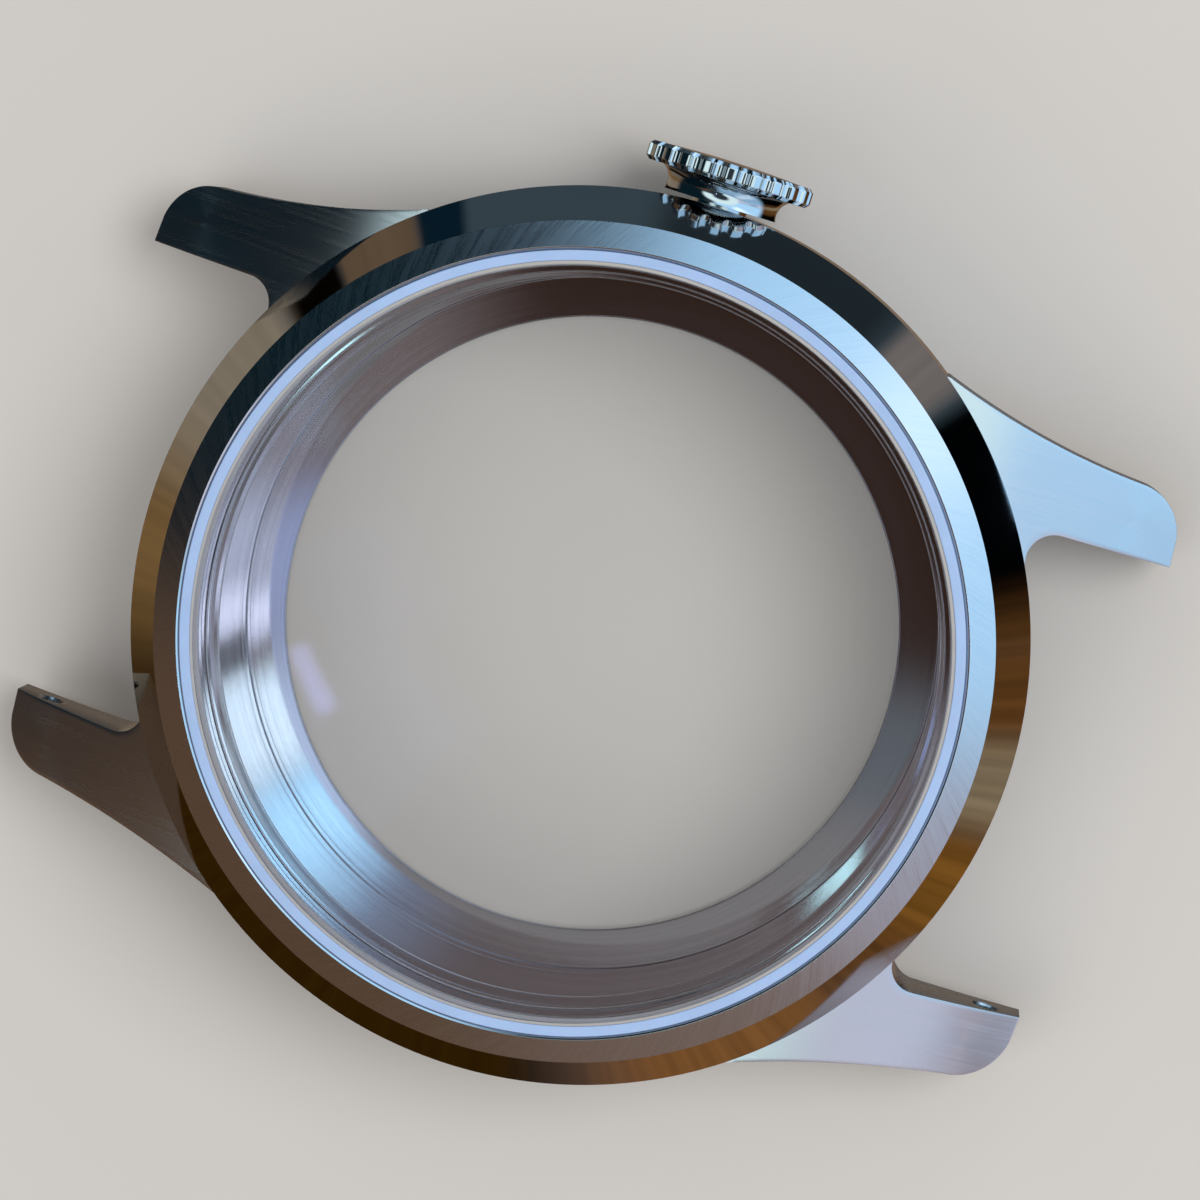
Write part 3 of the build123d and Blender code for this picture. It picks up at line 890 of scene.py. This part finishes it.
def lug_piece(name, side_x, side_y):
    """One lug, bevelled, with the blind hole of its spring bar."""
    lug = lug_block(name, side_x, side_y)
    bevel_lug(lug)
    mouth = Matrix.Translation((lug_inner_x * side_x, hole_y * side_y, hole_height))
    bore = turned("bore", [
        (0, -hole_radius, 0),
        (hole_radius + hole_bevel * 2, -hole_bevel, 0),
        (hole_radius, hole_bevel, 0),
        (hole_radius, hole_depth, 0),
        (0, hole_depth + hole_radius * drill_point_share, 0),
    ], brushed_lug_steel(), steps=bore_steps)
    bore.data.transform(mouth @ Matrix.Diagonal((side_x, 1, 1, 1)) @ ONTO_CROWN_AXIS)
    tidy_mesh(bore)
    cut(lug, bore)
    normals = lug.modifiers.new("Normals", "WEIGHTED_NORMAL")
    normals.keep_sharp = True
    return apply_modifiers(lug)


# Steps of the crown's curves, and how late the land of a tooth falls towards its edges
groove_steps = 8
land_steps = 12
neck_steps = 12
dome_steps = 12
land_flatness = 4


def crown_section():
    """Section of the crown from the post over the neck and rim to the middle of its dome.

    It is rows of (radius, distance along the axis, one on the toothed rim or zero)."""
    recess_radius = tube_radius + crown_recess_play
    recess_x = neck_base_x + crown_recess_depth
    neck_top_radius = neck_base_radius + neck_flare
    groove_foot_radius = rim_radius - rim_edge_chamfer - tooth_groove_depth
    dome_radius = groove_foot_radius - tooth_edge_round
    neck = arc_through(
        (neck_base_radius, neck_base_x),
        (neck_base_radius - neck_waist_depth, neck_base_x + neck_waist_rise),
        (neck_top_radius, rim_inner_x), neck_steps)
    edge = rounded([
        (neck_top_radius, rim_inner_x, 0),
        (rim_radius - rim_edge_chamfer, rim_inner_x, rim_face_round),
        (rim_radius, rim_inner_x + rim_edge_chamfer, rim_side_round),
        (rim_radius, rim_outer_x - rim_edge_chamfer, rim_side_round),
        (rim_radius - rim_edge_chamfer, rim_outer_x, rim_face_round),
        (groove_foot_radius, rim_outer_x, 0),
    ], closed=False)[1:-1]
    dome = []
    for step in range(dome_steps + 1):
        share = 1 - step / dome_steps
        dome.append((dome_radius * share, rim_outer_x + crown_dome * (1 - share ** 2), 0))
    return [
        (0, post_outer_x, 0),
        (post_radius, post_outer_x, 0),
        (post_radius, recess_x, 0),
        (recess_radius, recess_x, 0),
        (recess_radius, neck_base_x, 0),
        (neck_base_radius - rim_edge_chamfer / 4, neck_base_x, 0),
        *[(point.x, point.y, 0) for point in neck],
        (neck_top_radius + rim_edge_chamfer / 4, rim_inner_x, 0),
        *[(point.x, point.y, 1) for point in edge],
        *dome,
    ]


def crown_sector():
    """One tooth of the crown, with half a groove on each side, from axis to rim, as points and faces."""
    pitch_angle = 2 * pi / tooth_count
    groove_centre = rim_radius + tooth_groove_radius - tooth_groove_depth
    groove_half = acos((groove_centre ** 2 + rim_radius ** 2 - tooth_groove_radius ** 2)
                       / (2 * groove_centre * rim_radius))
    land = pitch_angle - 2 * groove_half
    groove_turns = [groove_half * step / groove_steps for step in range(groove_steps)]
    turns = groove_turns + [groove_half + land * step / land_steps for step in range(land_steps + 1)]
    turns += [pitch_angle - turn for turn in reversed(groove_turns)]

    def depth(turn):
        from_groove = min(turn, pitch_angle - turn)
        if from_groove < groove_half:
            ahead, aside = groove_centre * cos(from_groove), groove_centre * sin(from_groove)
            return rim_radius - ahead + sqrt(tooth_groove_radius ** 2 - aside ** 2)
        near_edge = 1 - (from_groove - groove_half) / (land / 2)
        return tooth_edge_round * near_edge ** land_flatness

    section = crown_section()
    points = []
    for radius, axial, toothed in section:
        for turn in turns:
            drawn = radius - depth(turn) * toothed
            points.append((drawn * cos(turn), drawn * sin(turn), axial))
    return points, grid_faces(len(section) - 1, len(turns) - 1)


# How closely the normal of a face has to follow that of the bezel's brushed face to belong to it
normal_match = 0.995


class WATCHCASE_OT_make_middle_case(bpy.types.Operator):
    """Make the middle case: the turned steel ring that carries everything else"""

    bl_idname = "watchcase.make_middle_case"
    bl_label = "Middle Case"

    def execute(self, context):
        groove_outer = back_seal_radius + seal_groove_width / 2
        groove_inner = back_seal_radius - seal_groove_width / 2
        ring = turned("middle_case", [
            (back_bore_radius, foot_height, inner_edge_round),
            (groove_inner, foot_height, 0),
            (groove_inner, foot_height + seal_groove_depth, 0),
            (groove_outer, foot_height + seal_groove_depth, 0),
            (groove_outer, foot_height, 0),
            (case_radius - foot_inset, foot_height, inner_edge_round),
            (case_radius, side_bottom_height, side_edge_round),
            (case_radius, bezel_seat_height, bezel_joint_round),
            (neck_radius, bezel_seat_height, 0),
            (neck_radius, neck_top_height - ledge_rise, inner_edge_round),
            (dial_rebate_radius, neck_top_height, inner_edge_round),
            (dial_rebate_radius, dial_seat_height, 0),
            (movement_bore_radius, dial_seat_height + ledge_rise, inner_edge_round),
            (movement_bore_radius, back_lip_height + back_lip_clearance, seam_round),
            (back_bore_radius, back_lip_height + back_lip_clearance, 0),
        ], turned_steel())
        start, end = movement_bore_radius - drill_overrun, case_radius + drill_overrun
        hole = disc_section(tube_radius + gasket_wall_gap, start, end, 0)
        drill = turned("drill", hole, turned_steel(), steps=bore_steps, crown=True)
        cut(ring, drill)
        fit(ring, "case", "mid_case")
        return {"FINISHED"}


class WATCHCASE_OT_make_lugs(bpy.types.Operator):
    """Make the four lugs, brushed along their length, with their spring bar holes"""

    bl_idname = "watchcase.make_lugs"
    bl_label = "Lugs"

    def execute(self, context):
        for hour, side_x, side_y in (("one", 1, 1), ("five", 1, -1), ("seven", -1, -1), ("eleven", -1, 1)):
            lug = lug_piece(f"{hour}_oclock_lug", side_x, side_y)
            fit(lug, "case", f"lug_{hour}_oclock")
        return {"FINISHED"}


class WATCHCASE_OT_make_bezel(bpy.types.Operator):
    """Make the bezel: a polished flank, a radially brushed face and a polished mouth"""

    bl_idname = "watchcase.make_bezel"
    bl_label = "Bezel"

    def execute(self, context):
        edge_round = context.scene.watch_case_sizes.bezel_edge_round
        ring = turned("bezel_ring", [
            (bezel_gasket_radius + gasket_wall_gap, bezel_seat_height, 0),
            (case_radius, bezel_seat_height, bezel_joint_round),
            (case_radius, widest_height, edge_round),
            (flank_top_radius, flank_top_height, edge_round),
            (brushed_inner_radius, bezel_top_height, mouth_edge_round),
            (crystal_bore_radius + gasket_wall_gap, bezel_top_height - mouth_bevel_drop, mouth_edge_round),
            (crystal_bore_radius + gasket_wall_gap, crystal_seat_height, 0),
            (bezel_lip_radius, crystal_seat_height, inner_edge_round),
            (bezel_lip_radius, neck_top_height, inner_edge_round),
            (bezel_gasket_radius + gasket_wall_gap, neck_top_height, 0),
        ], polished_steel())
        rise, run = bezel_top_height - flank_top_height, flank_top_radius - brushed_inner_radius
        brushed_normal = Vector((rise, run)).normalized()

        def on_brushed_face(centre, normal):
            match = Vector((normal.xy.length, normal.z)).dot(brushed_normal)
            return centre.z > flank_top_height and normal.xy.dot(centre.xy) > 0 and match > normal_match

        add_material(ring, brushed_bezel_steel(), on_brushed_face)
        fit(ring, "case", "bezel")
        return {"FINISHED"}


class WATCHCASE_OT_make_gaskets(bpy.types.Operator):
    """Make the nylon gaskets of the bezel and both crystals, and the rubber seal of the back"""

    bl_idname = "watchcase.make_gaskets"
    bl_label = "Gaskets"

    def execute(self, context):
        # Pale nylon whose blue tint is painted window light
        pale = nylon("moulded nylon", "nylon")
        # A greyer copy of the same nylon, as painted shade under the crystal
        painted_shade_nylon = nylon("moulded nylon under the crystal", "nylon_painted_shade")
        inner = crystal_radius + gasket_wall_gap
        front = turned("front_gasket", [
            (crystal_bore_radius - crystal_gasket_lip_width, crystal_seat_height, gasket_edge_round),
            (crystal_bore_radius, crystal_seat_height, gasket_edge_round),
            (crystal_bore_radius, crystal_gasket_top_height, gasket_edge_round),
            (inner, crystal_gasket_top_height, gasket_edge_round),
            (inner, crystal_bottom_height, 0),
            (crystal_bore_radius - crystal_gasket_lip_width, crystal_bottom_height, gasket_edge_round),
        ], pale)
        # Faces under the crystal take the greyer nylon, which is painted shade
        add_material(front, painted_shade_nylon, lambda centre, normal: centre.xy.length < inner)
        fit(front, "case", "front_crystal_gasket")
        sleeve = turned("bezel_sleeve", ring_section(
            neck_radius + gasket_wall_gap, bezel_gasket_radius,
            bezel_gasket_bottom_height, neck_top_height, gasket_edge_round), pale)
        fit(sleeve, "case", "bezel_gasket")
        window = turned("back_crystal_ring", ring_section(
            back_crystal_radius + gasket_wall_gap, back_crystal_seat_radius,
            back_crystal_bottom_height, back_crystal_shelf_height, gasket_edge_round), pale)
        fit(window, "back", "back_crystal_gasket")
        cord_height = foot_height + seal_section_radius
        cord = turned("back_seal", cord_section(back_seal_radius, cord_height, seal_section_radius), rubber())
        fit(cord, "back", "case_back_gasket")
        return {"FINISHED"}


class WATCHCASE_OT_make_crystals(bpy.types.Operator):
    """Make the flat front crystal with its bevelled edge and the thin crystal of the back"""

    bl_idname = "watchcase.make_crystals"
    bl_label = "Crystals"

    def execute(self, context):
        front = turned("front_glass", [
            (0, crystal_bottom_height, 0),
            (crystal_radius, crystal_bottom_height, crystal_edge_round),
            (crystal_radius, crystal_top_height - crystal_chamfer, crystal_edge_round),
            (crystal_radius - crystal_chamfer, crystal_top_height, crystal_edge_round),
            (0, crystal_top_height, 0),
        ], crystal("polished sapphire crystal", sapphire_ior))
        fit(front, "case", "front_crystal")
        back = turned("back_glass", disc_section(
            back_crystal_radius, back_crystal_bottom_height, back_crystal_shelf_height, crystal_edge_round,
        ), crystal("polished mineral crystal", mineral_glass_ior))
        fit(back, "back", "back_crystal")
        for glass in (front, back):
            glass.visible_shadow = False
            glass.visible_diffuse = False
        return {"FINISHED"}


class WATCHCASE_OT_make_back(bpy.types.Operator):
    """Make the turned ring of the back, with its lip, floor, window and pry notch"""

    bl_idname = "watchcase.make_back"
    bl_label = "Back"

    def execute(self, context):
        ring = turned("back_ring", [
            (back_crystal_seat_radius, 0, inner_edge_round),
            (back_flange_radius - back_edge_chamfer, 0, inner_edge_round),
            (back_flange_radius, back_edge_chamfer, inner_edge_round),
            (back_flange_radius, back_flange_height, inner_edge_round),
            (back_lip_outer_radius, back_flange_height, 0),
            (back_lip_outer_radius, back_lip_height, inner_edge_round),
            (movement_bore_radius, back_lip_height, seam_round),
            (movement_bore_radius, back_floor_height + floor_fall, floor_cove),
            (back_window_radius, back_floor_height, inner_edge_round),
            (back_window_radius, back_crystal_shelf_height, 0),
            (back_crystal_seat_radius, back_crystal_shelf_height, 0),
        ], turned_steel())
        corners = []
        for x in (-back_flange_radius - pry_notch_depth, -back_flange_radius + pry_notch_depth):
            for y in (-pry_notch_width / 2, pry_notch_width / 2):
                for z in (back_flange_height - pry_notch_height, back_flange_height + pry_notch_height / 4):
                    corners.append((x, y, z))
        box_faces = ((0, 1, 3, 2), (4, 6, 7, 5), (0, 4, 5, 1), (2, 3, 7, 6), (0, 2, 6, 4), (1, 5, 7, 3))
        notch = new_object("notch", corners, box_faces)
        tidy_mesh(notch)
        cut(ring, notch)
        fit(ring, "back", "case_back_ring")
        return {"FINISHED"}


class WATCHCASE_OT_make_crown(bpy.types.Operator):
    """Make the toothed crown, its post, its two sealing rings and the tube that they run in"""

    bl_idname = "watchcase.make_crown"
    bl_label = "Crown"

    def execute(self, context):
        points, faces = crown_sector()
        wheel = new_object("crown_wheel", points, faces)
        grow(wheel, toothed_wheel_tree(), {"Teeth": tooth_count, "Material": polished_steel()})
        wheel.data.transform(Matrix.Translation((0, 0, crown_height)) @ ONTO_CROWN_AXIS)
        tidy_mesh(wheel)
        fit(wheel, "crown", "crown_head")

        corners = [(0, stem_hole_end_x, 0), (stem_hole_radius, stem_hole_end_x, 0)]
        corners += [(stem_hole_radius, post_inner_x, 0), (post_radius, post_inner_x, post_chamfer)]
        for ring_x in (first_ring_x, second_ring_x):
            for side in (-1, 1):
                wall = ring_x + side * ring_groove_width / 2
                depths = (0, ring_groove_depth)[::-side]
                corners += [(post_radius - depths[0], wall, 0), (post_radius - depths[1], wall, 0)]
        corners += [(post_radius, post_outer_x, 0), (0, post_outer_x, 0)]
        post = turned("crown_stem_post", corners, turned_crown_steel(), steps=crown_steps, crown=True)
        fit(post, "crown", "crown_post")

        section_radius = (ring_outer_radius - ring_inner_radius) / 2
        for label, ring_x in (("inner", first_ring_x), ("outer", second_ring_x)):
            section = cord_section(ring_outer_radius - section_radius, ring_x, section_radius)
            seal = turned(f"crown_seal_{label}", section, rubber(), steps=crown_steps, crown=True)
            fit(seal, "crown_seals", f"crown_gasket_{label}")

        sleeve = ring_section(tube_bore_radius, tube_radius, tube_inner_x, tube_outer_x, post_chamfer)
        tube = turned("crown_sleeve", sleeve, turned_crown_steel(), steps=crown_steps, crown=True)
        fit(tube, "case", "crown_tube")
        return {"FINISHED"}


# Soft panels of the light tent, which the outside of the case mirrors, later ones over earlier ones: azimuth
# and elevation of the middle, half width, half height and softness in degrees, colour, strength and streaks
tent_panels = (
    ("slate floor by the crown", 0, -40, 62, 46, 4, "#43525a", 1.0, 0.0),
    ("dark slate at 4 o'clock", -9, -40, 19, 46, 3, "#273136", 1.0, 0.0),
    ("taupe post by 4 o'clock", -35, -40, 5.5, 46, 1.5, "#89807c", 1.0, 0.1),
    ("shade below 5 o'clock", -60, -40, 17.5, 46, 1.5, "#020304", 1.0, 0.0),
    ("dark teal at 1 o'clock", 42, -40, 3.6, 46, 0.8, "#0c2230", 1.0, 0.0),
    ("tan post by 1 o'clock", 51.5, -40, 6.0, 46, 0.8, "#6f5b47", 1.0, 0.1),
    ("shade below 1 o'clock", 62, -40, 4.7, 46, 0.8, "#070402", 1.0, 0.0),
    ("stone wall below 12 o'clock", 81, -40, 14, 46, 2, "#958876", 1.0, 0.1),
    ("tan wall below 11 o'clock", 106, -40, 15, 46, 8, "#86673f", 1.0, 0.15),
    ("wood shade below 9 o'clock", 152, -40, 40, 46, 8, "#352105", 1.0, 0.2),
    ("lit wood below 7 o'clock", -148, -40, 17, 46, 7, "#8c5e34", 1.0, 0.2),
    ("wood below 6 o'clock", -104, -40, 30, 46, 6, "#6c4622", 1.0, 0.3),
    ("golden wood below 7 o'clock", -114, -40, 7, 46, 3, "#8a5c24", 1.0, 0.3),
    ("pale wood below 6 o'clock", -98, -40, 6, 46, 3, "#988468", 1.0, 0.2),
    ("table under the case", 0, -90, 400, 22, 6, "#7b6a5a", 1.0, 0.2),
    ("dark corner at 12 o'clock", 72, 22, 40, 30, 9, "#0f232c", 1.0, 0.0),
    ("brown wall at 9 o'clock", 155, 27, 51.3, 34, 7, "#6b5341", 1.0, 0.0),
    ("mauve wall at 7 o'clock", -143, 25, 30, 30, 18, "#8b7569", 1.0, 0.0),
    ("lavender wall at 6 o'clock", -108, 30, 16, 34, 9, "#dedcf0", 1.2, 0.0),
    ("mauve band below it", -106, 19, 15, 8, 5, "#a89ca4", 1.0, 0.0),
    ("window at 4 o'clock", -42, 30, 52, 34, 9, "#b0dcff", 1.55, 0.0),
    ("brightest part of it", -42, 24, 9, 20, 8, "#d6ecff", 2.2, 0.0),
    ("skylight", -40, 64, 130, 10, 5, "#d8f0f4", 1.6, 0.0),
    ("lamp over the crystal", 133, 76.5, 4.5, 0.3, 0.25, "#c8c8ff", 20.0, 0.0),
)
tent_base_colour = "#39424a"

# Soft panels of the room that the inside of the case mirrors through the crystal, given the same way
room_panels = (
    ("bright side of the room", -60, 45, 75, 32, 18, "#c8dcff", 1.0, 0.0),
    ("low lavender wall", 125, 4, 58, 15, 6, "#cfcdf2", 1.1, 0.0),
    ("low grey wall", -130, 4, 50, 15, 6, "#85858c", 1.0, 0.0),
    ("plain ceiling", 0, 90, 400, 20, 4, "#8a7b7b", 1.0, 0.0),
    ("slate wall", 45, 80.9, 50, 0.8, 0.4, "#a09898", 1.0, 0.0),
    ("slate ceiling", 180, 81.3, 27, 2.0, 0.4, "#989393", 1.0, 0.0),
    ("grey wall", -150, 79.5, 16, 4, 3, "#b5aebb", 1.0, 0.0),
    ("lavender wall", -118, 78.5, 19, 4, 3, "#dce2ff", 1.25, 0.0),
    ("bright end of the lavender wall", -103, 78.5, 6, 4, 1.0, "#e0e4ff", 2.2, 0.0),
    ("faint end of the window", -24, 78.5, 10, 4, 6, "#b5d2ff", 1.3, 0.0),
    ("blue part of the window", -44, 78.5, 17, 4, 3, "#aedcff", 2.7, 0.0),
    ("white part of the window", -73, 78.5, 14, 4, 1.5, "#d9ecff", 2.5, 0.0),
    ("window bar", -92, 78.3, 4.5, 0.9, 0.4, "#7c7e8a", 1.0, 0.0),
    ("small window", 115, 81.15, 9, 0.34, 0.15, "#c0ecf6", 3.0, 0.0),
    ("lavender ceiling", 137, 80.9, 6, 0.8, 0.4, "#c1ceff", 0.95, 0.0),
    ("bright ceiling", 147, 79.9, 6, 1.1, 0.4, "#cbdcff", 1.3, 0.0),
    ("dark ceiling", 0, 90, 400, 6.3, 0.9, "#402e26", 1.0, 0.0),
    ("slate patch", -175, 83.4, 14, 0.7, 0.5, "#767c84", 1.0, 0.0),
)
room_base_colour = "#4a4442"

# Streaks of the panels, in degrees, and the least that a circle round the pole shrinks to
streak_width = 1.6
streak_length = 40.0
least_circle = 0.1
full_turn = 360.0


def panel_mask(tree, value, middle, half, softness, wraps):
    """One where an angle lies on a panel, falling softly to zero past its edge."""
    away = add(tree, MATH, (add(tree, MATH, (value, middle), operation="SUBTRACT"),), operation="ABSOLUTE")
    if wraps:
        other_way = add(tree, MATH, (full_turn, away), operation="SUBTRACT")
        away = add(tree, MATH, (away, other_way), operation="MINIMUM")
    edge = (away, half - softness, half + softness, 1.0, 0.0)
    return add(tree, MAP_RANGE, edge, interpolation_type="SMOOTHSTEP")


def direction(azimuth, elevation):
    """The unit vector towards an azimuth and an elevation, both in degrees."""
    flat = cos(radians(elevation))
    return Vector((cos(radians(azimuth)) * flat, sin(radians(azimuth)) * flat, sin(radians(elevation))))


def glowing_cloth(name, base_colour, panels):
    """Glowing cloth: soft tinted panels on a base colour, placed by azimuth and elevation."""
    material, tree = new_material(name)
    place = add(tree, "ShaderNodeTexCoord").outputs["Object"]
    way = add(tree, VECTOR_MATH, (place,), operation="NORMALIZE")
    x, y, z = add(tree, "ShaderNodeSeparateXYZ", (way,)).outputs
    azimuth = add(tree, MATH, (add(tree, MATH, (y, x), operation="ARCTAN2"),), operation="DEGREES")
    elevation = add(tree, MATH, (add(tree, MATH, (z,), operation="ARCSINE"),), operation="DEGREES")
    angles = add(tree, JOIN, (azimuth, elevation))
    streak_scale = (1 / streak_width, 1 / streak_length, 0.0)
    streak_place = add(tree, VECTOR_MATH, (angles, streak_scale), operation="MULTIPLY")
    streaks = add(tree, NOISE, {"Vector": streak_place, "Scale": 1.0, "Detail": 3.0})
    light = linear(base_colour)
    for label, turn, height, half_width, half_height, softness, hex_colour, strength, streaked in panels:
        side_softness = softness / max(cos(radians(height)), least_circle)
        mask = add(tree, MATH, (
            panel_mask(tree, azimuth, turn, half_width, side_softness, wraps=True),
            panel_mask(tree, elevation, height, half_height, softness, wraps=False),
        ), operation="MULTIPLY")
        panel_light = [share * strength for share in linear(hex_colour)[:3]] + [1.0]
        if streaked:
            panel_light = shaded(tree, panel_light, streaks, 1 - streaked, 1 + streaked)
        light = add(tree, "ShaderNodeMix", {
            "Factor": mask, 6: light, 7: panel_light,
        }, data_type="RGBA", clamp_result=False, label=label).outputs[2]
    # Looked at straight through both crystals, the ball is the plain backdrop: only a mirror shows its panels
    bounces = add(tree, "ShaderNodeLightPath").outputs["Glossy Depth"]
    mirrored = add(tree, MATH, (bounces, 0.5), operation="GREATER_THAN")
    light = add(tree, "ShaderNodeMix", {
        "Factor": mirrored, 6: bpy.context.scene.watch_case_colours.backdrop, 7: light,
    }, data_type="RGBA", clamp_result=False).outputs[2]
    add(tree, "ShaderNodeOutputMaterial", (add(tree, "ShaderNodeEmission", (light, 1.0)),))
    material.cycles.emission_sampling = "NONE"
    return material


def glowing_ball(name, radius, material):
    """A hollow ball of glowing cloth round the case, which only mirror images and crystals can show."""
    shape = bmesh.new()
    bmesh.ops.create_uvsphere(shape, u_segments=ball_segments, v_segments=ball_rings, radius=radius)
    bmesh.ops.reverse_faces(shape, faces=shape.faces)
    ball = new_object(name, [])
    shape.to_mesh(ball.data)
    shape.free()
    ball.data.shade_smooth()
    ball.data.materials.append(material)
    ball.visible_camera = False
    ball.visible_diffuse = False
    ball.visible_shadow = False
    return ball


def floor_paint():
    """Pale floor paint: matt and all but plain on top, and clear from below, where the back is looked at."""
    material, tree = new_material("pale floor paint")
    mottle = grain(tree, floor_mottle_scale, 2.0)
    paint = add(tree, "ShaderNodeBsdfPrincipled", {
        "Base Color": shaded(tree, bpy.context.scene.watch_case_colours.floor, mottle, 0.99, 1.01),
        "Roughness": 0.8,
        "Specular IOR Level": 0.1,
    })
    from_below = add(tree, "ShaderNodeNewGeometry").outputs["Backfacing"]
    seen = add(tree, "ShaderNodeMixShader", (from_below, paint, add(tree, "ShaderNodeBsdfTransparent")))
    add(tree, "ShaderNodeOutputMaterial", (seen,))
    return material


def add_lamp(name, azimuth, elevation, power, width):
    """A soft round lamp in one direction from the case, which no mirror image shows."""
    lamp = bpy.data.lights.new(name, "AREA")
    lamp.shape = "DISK"
    lamp.size = width
    lamp.energy = power
    way = direction(azimuth, elevation)
    stand = bpy.data.objects.new(name, lamp)
    stand.location = way * lamp_distance
    stand.rotation_mode = "QUATERNION"
    stand.rotation_quaternion = way.to_track_quat("Z", "Y")
    stand.visible_glossy = False
    stand.visible_transmission = False
    bpy.context.scene.collection.objects.link(stand)


def studio_world(backdrop):
    """A world that shows the backdrop's colour and gives a plain white light of its own."""
    world = bpy.data.worlds.new("studio")
    world.use_nodes = True
    tree = world.node_tree
    tree.nodes.clear()
    path = add(tree, "ShaderNodeLightPath").outputs
    mirrored = add(tree, MATH, (path["Is Glossy Ray"], path["Is Transmission Ray"]), operation="ADD")
    seen = add(tree, MATH, (path["Is Camera Ray"], mirrored), operation="ADD", use_clamp=True)
    lit = add(tree, "ShaderNodeBackground", ((1.0, 1.0, 1.0, 1.0), world_strength))
    shown = add(tree, "ShaderNodeBackground", (backdrop, 1.0))
    add(tree, "ShaderNodeOutputWorld", (add(tree, "ShaderNodeMixShader", (seen, lit, shown)),))
    return world


def photograph_camera():
    """The camera at the photograph's place, turned as the photograph is."""
    lens = bpy.data.cameras.new("photograph_camera")
    lens.lens = camera_lens
    lens.sensor_width = camera_sensor
    camera = bpy.data.objects.new("photograph_camera", lens)
    bpy.context.scene.collection.objects.link(camera)
    back = direction(camera_lean_azimuth, 90 - camera_tilt)
    level_up = direction(camera_up_azimuth, 0)
    up = (level_up - back * level_up.dot(back)).normalized()
    turn = Matrix((up.cross(back), up, back)).transposed().to_4x4()
    camera.matrix_world = Matrix.Translation(camera_aim + back * camera_distance) @ turn
    return camera


class WATCHCASE_OT_make_stage(bpy.types.Operator):
    """Set the stage: pale floor, light tent, soft lamps, world and the photograph's camera"""

    bl_idname = "watchcase.make_stage"
    bl_label = "Stage"

    def execute(self, context):
        half = floor_size / 2
        plan = ((-half, -half), (half, -half), (half, half), (-half, half))
        floor = new_object("floor", [(x, y, -floor_drop) for x, y in plan], [(0, 1, 2, 3)])
        floor.data.materials.append(floor_paint())
        floor.visible_glossy = False
        tent_cloth = glowing_cloth("tent cloth", tent_base_colour, tent_panels)
        tent = glowing_ball("light_tent", tent_radius, tent_cloth)
        tent.visible_transmission = False
        room_cloth = glowing_cloth("room cloth", room_base_colour, room_panels)
        room = glowing_ball("room", room_radius, room_cloth)
        room.visible_glossy = False
        add_lamp("key_lamp", -60, 60, power=1.1, width=0.3)
        add_lamp("fill_lamp", 140, 50, power=0.5, width=0.4)
        context.scene.world = studio_world(context.scene.watch_case_colours.backdrop)
        context.scene.camera = photograph_camera()
        context.scene.view_settings.view_transform = "Standard"
        return {"FINISHED"}


class WATCHCASE_PT_panel(bpy.types.Panel):
    """The sizes, colours and operators of the watch case"""

    bl_idname = "WATCHCASE_PT_panel"
    bl_label = "Watch Case"
    bl_space_type = "VIEW_3D"
    bl_region_type = "UI"
    bl_category = "Watch Case"

    def draw(self, context):
        for group in (context.scene.watch_case_sizes, context.scene.watch_case_colours):
            for name in group.__annotations__:
                self.layout.prop(group, name)
        for operator in OPERATORS:
            self.layout.operator(operator.bl_idname)


OPERATORS = (
    WATCHCASE_OT_make_middle_case,
    WATCHCASE_OT_make_lugs,
    WATCHCASE_OT_make_bezel,
    WATCHCASE_OT_make_gaskets,
    WATCHCASE_OT_make_crystals,
    WATCHCASE_OT_make_back,
    WATCHCASE_OT_make_crown,
    WATCHCASE_OT_make_stage,
)
CLASSES = (WatchCaseSizes, WatchCaseColours, *OPERATORS, WATCHCASE_PT_panel)


def register():
    for one in CLASSES:
        bpy.utils.register_class(one)
    bpy.types.Scene.watch_case_sizes = bpy.props.PointerProperty(type=WatchCaseSizes)
    bpy.types.Scene.watch_case_colours = bpy.props.PointerProperty(type=WatchCaseColours)


def unregister():
    del bpy.types.Scene.watch_case_colours
    del bpy.types.Scene.watch_case_sizes
    for one in reversed(CLASSES):
        bpy.utils.unregister_class(one)


def main():
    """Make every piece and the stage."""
    register()
    for operator in OPERATORS:
        group, name = operator.bl_idname.split(".")
        getattr(getattr(bpy.ops, group), name)()


if __name__ == "__main__":
    main()
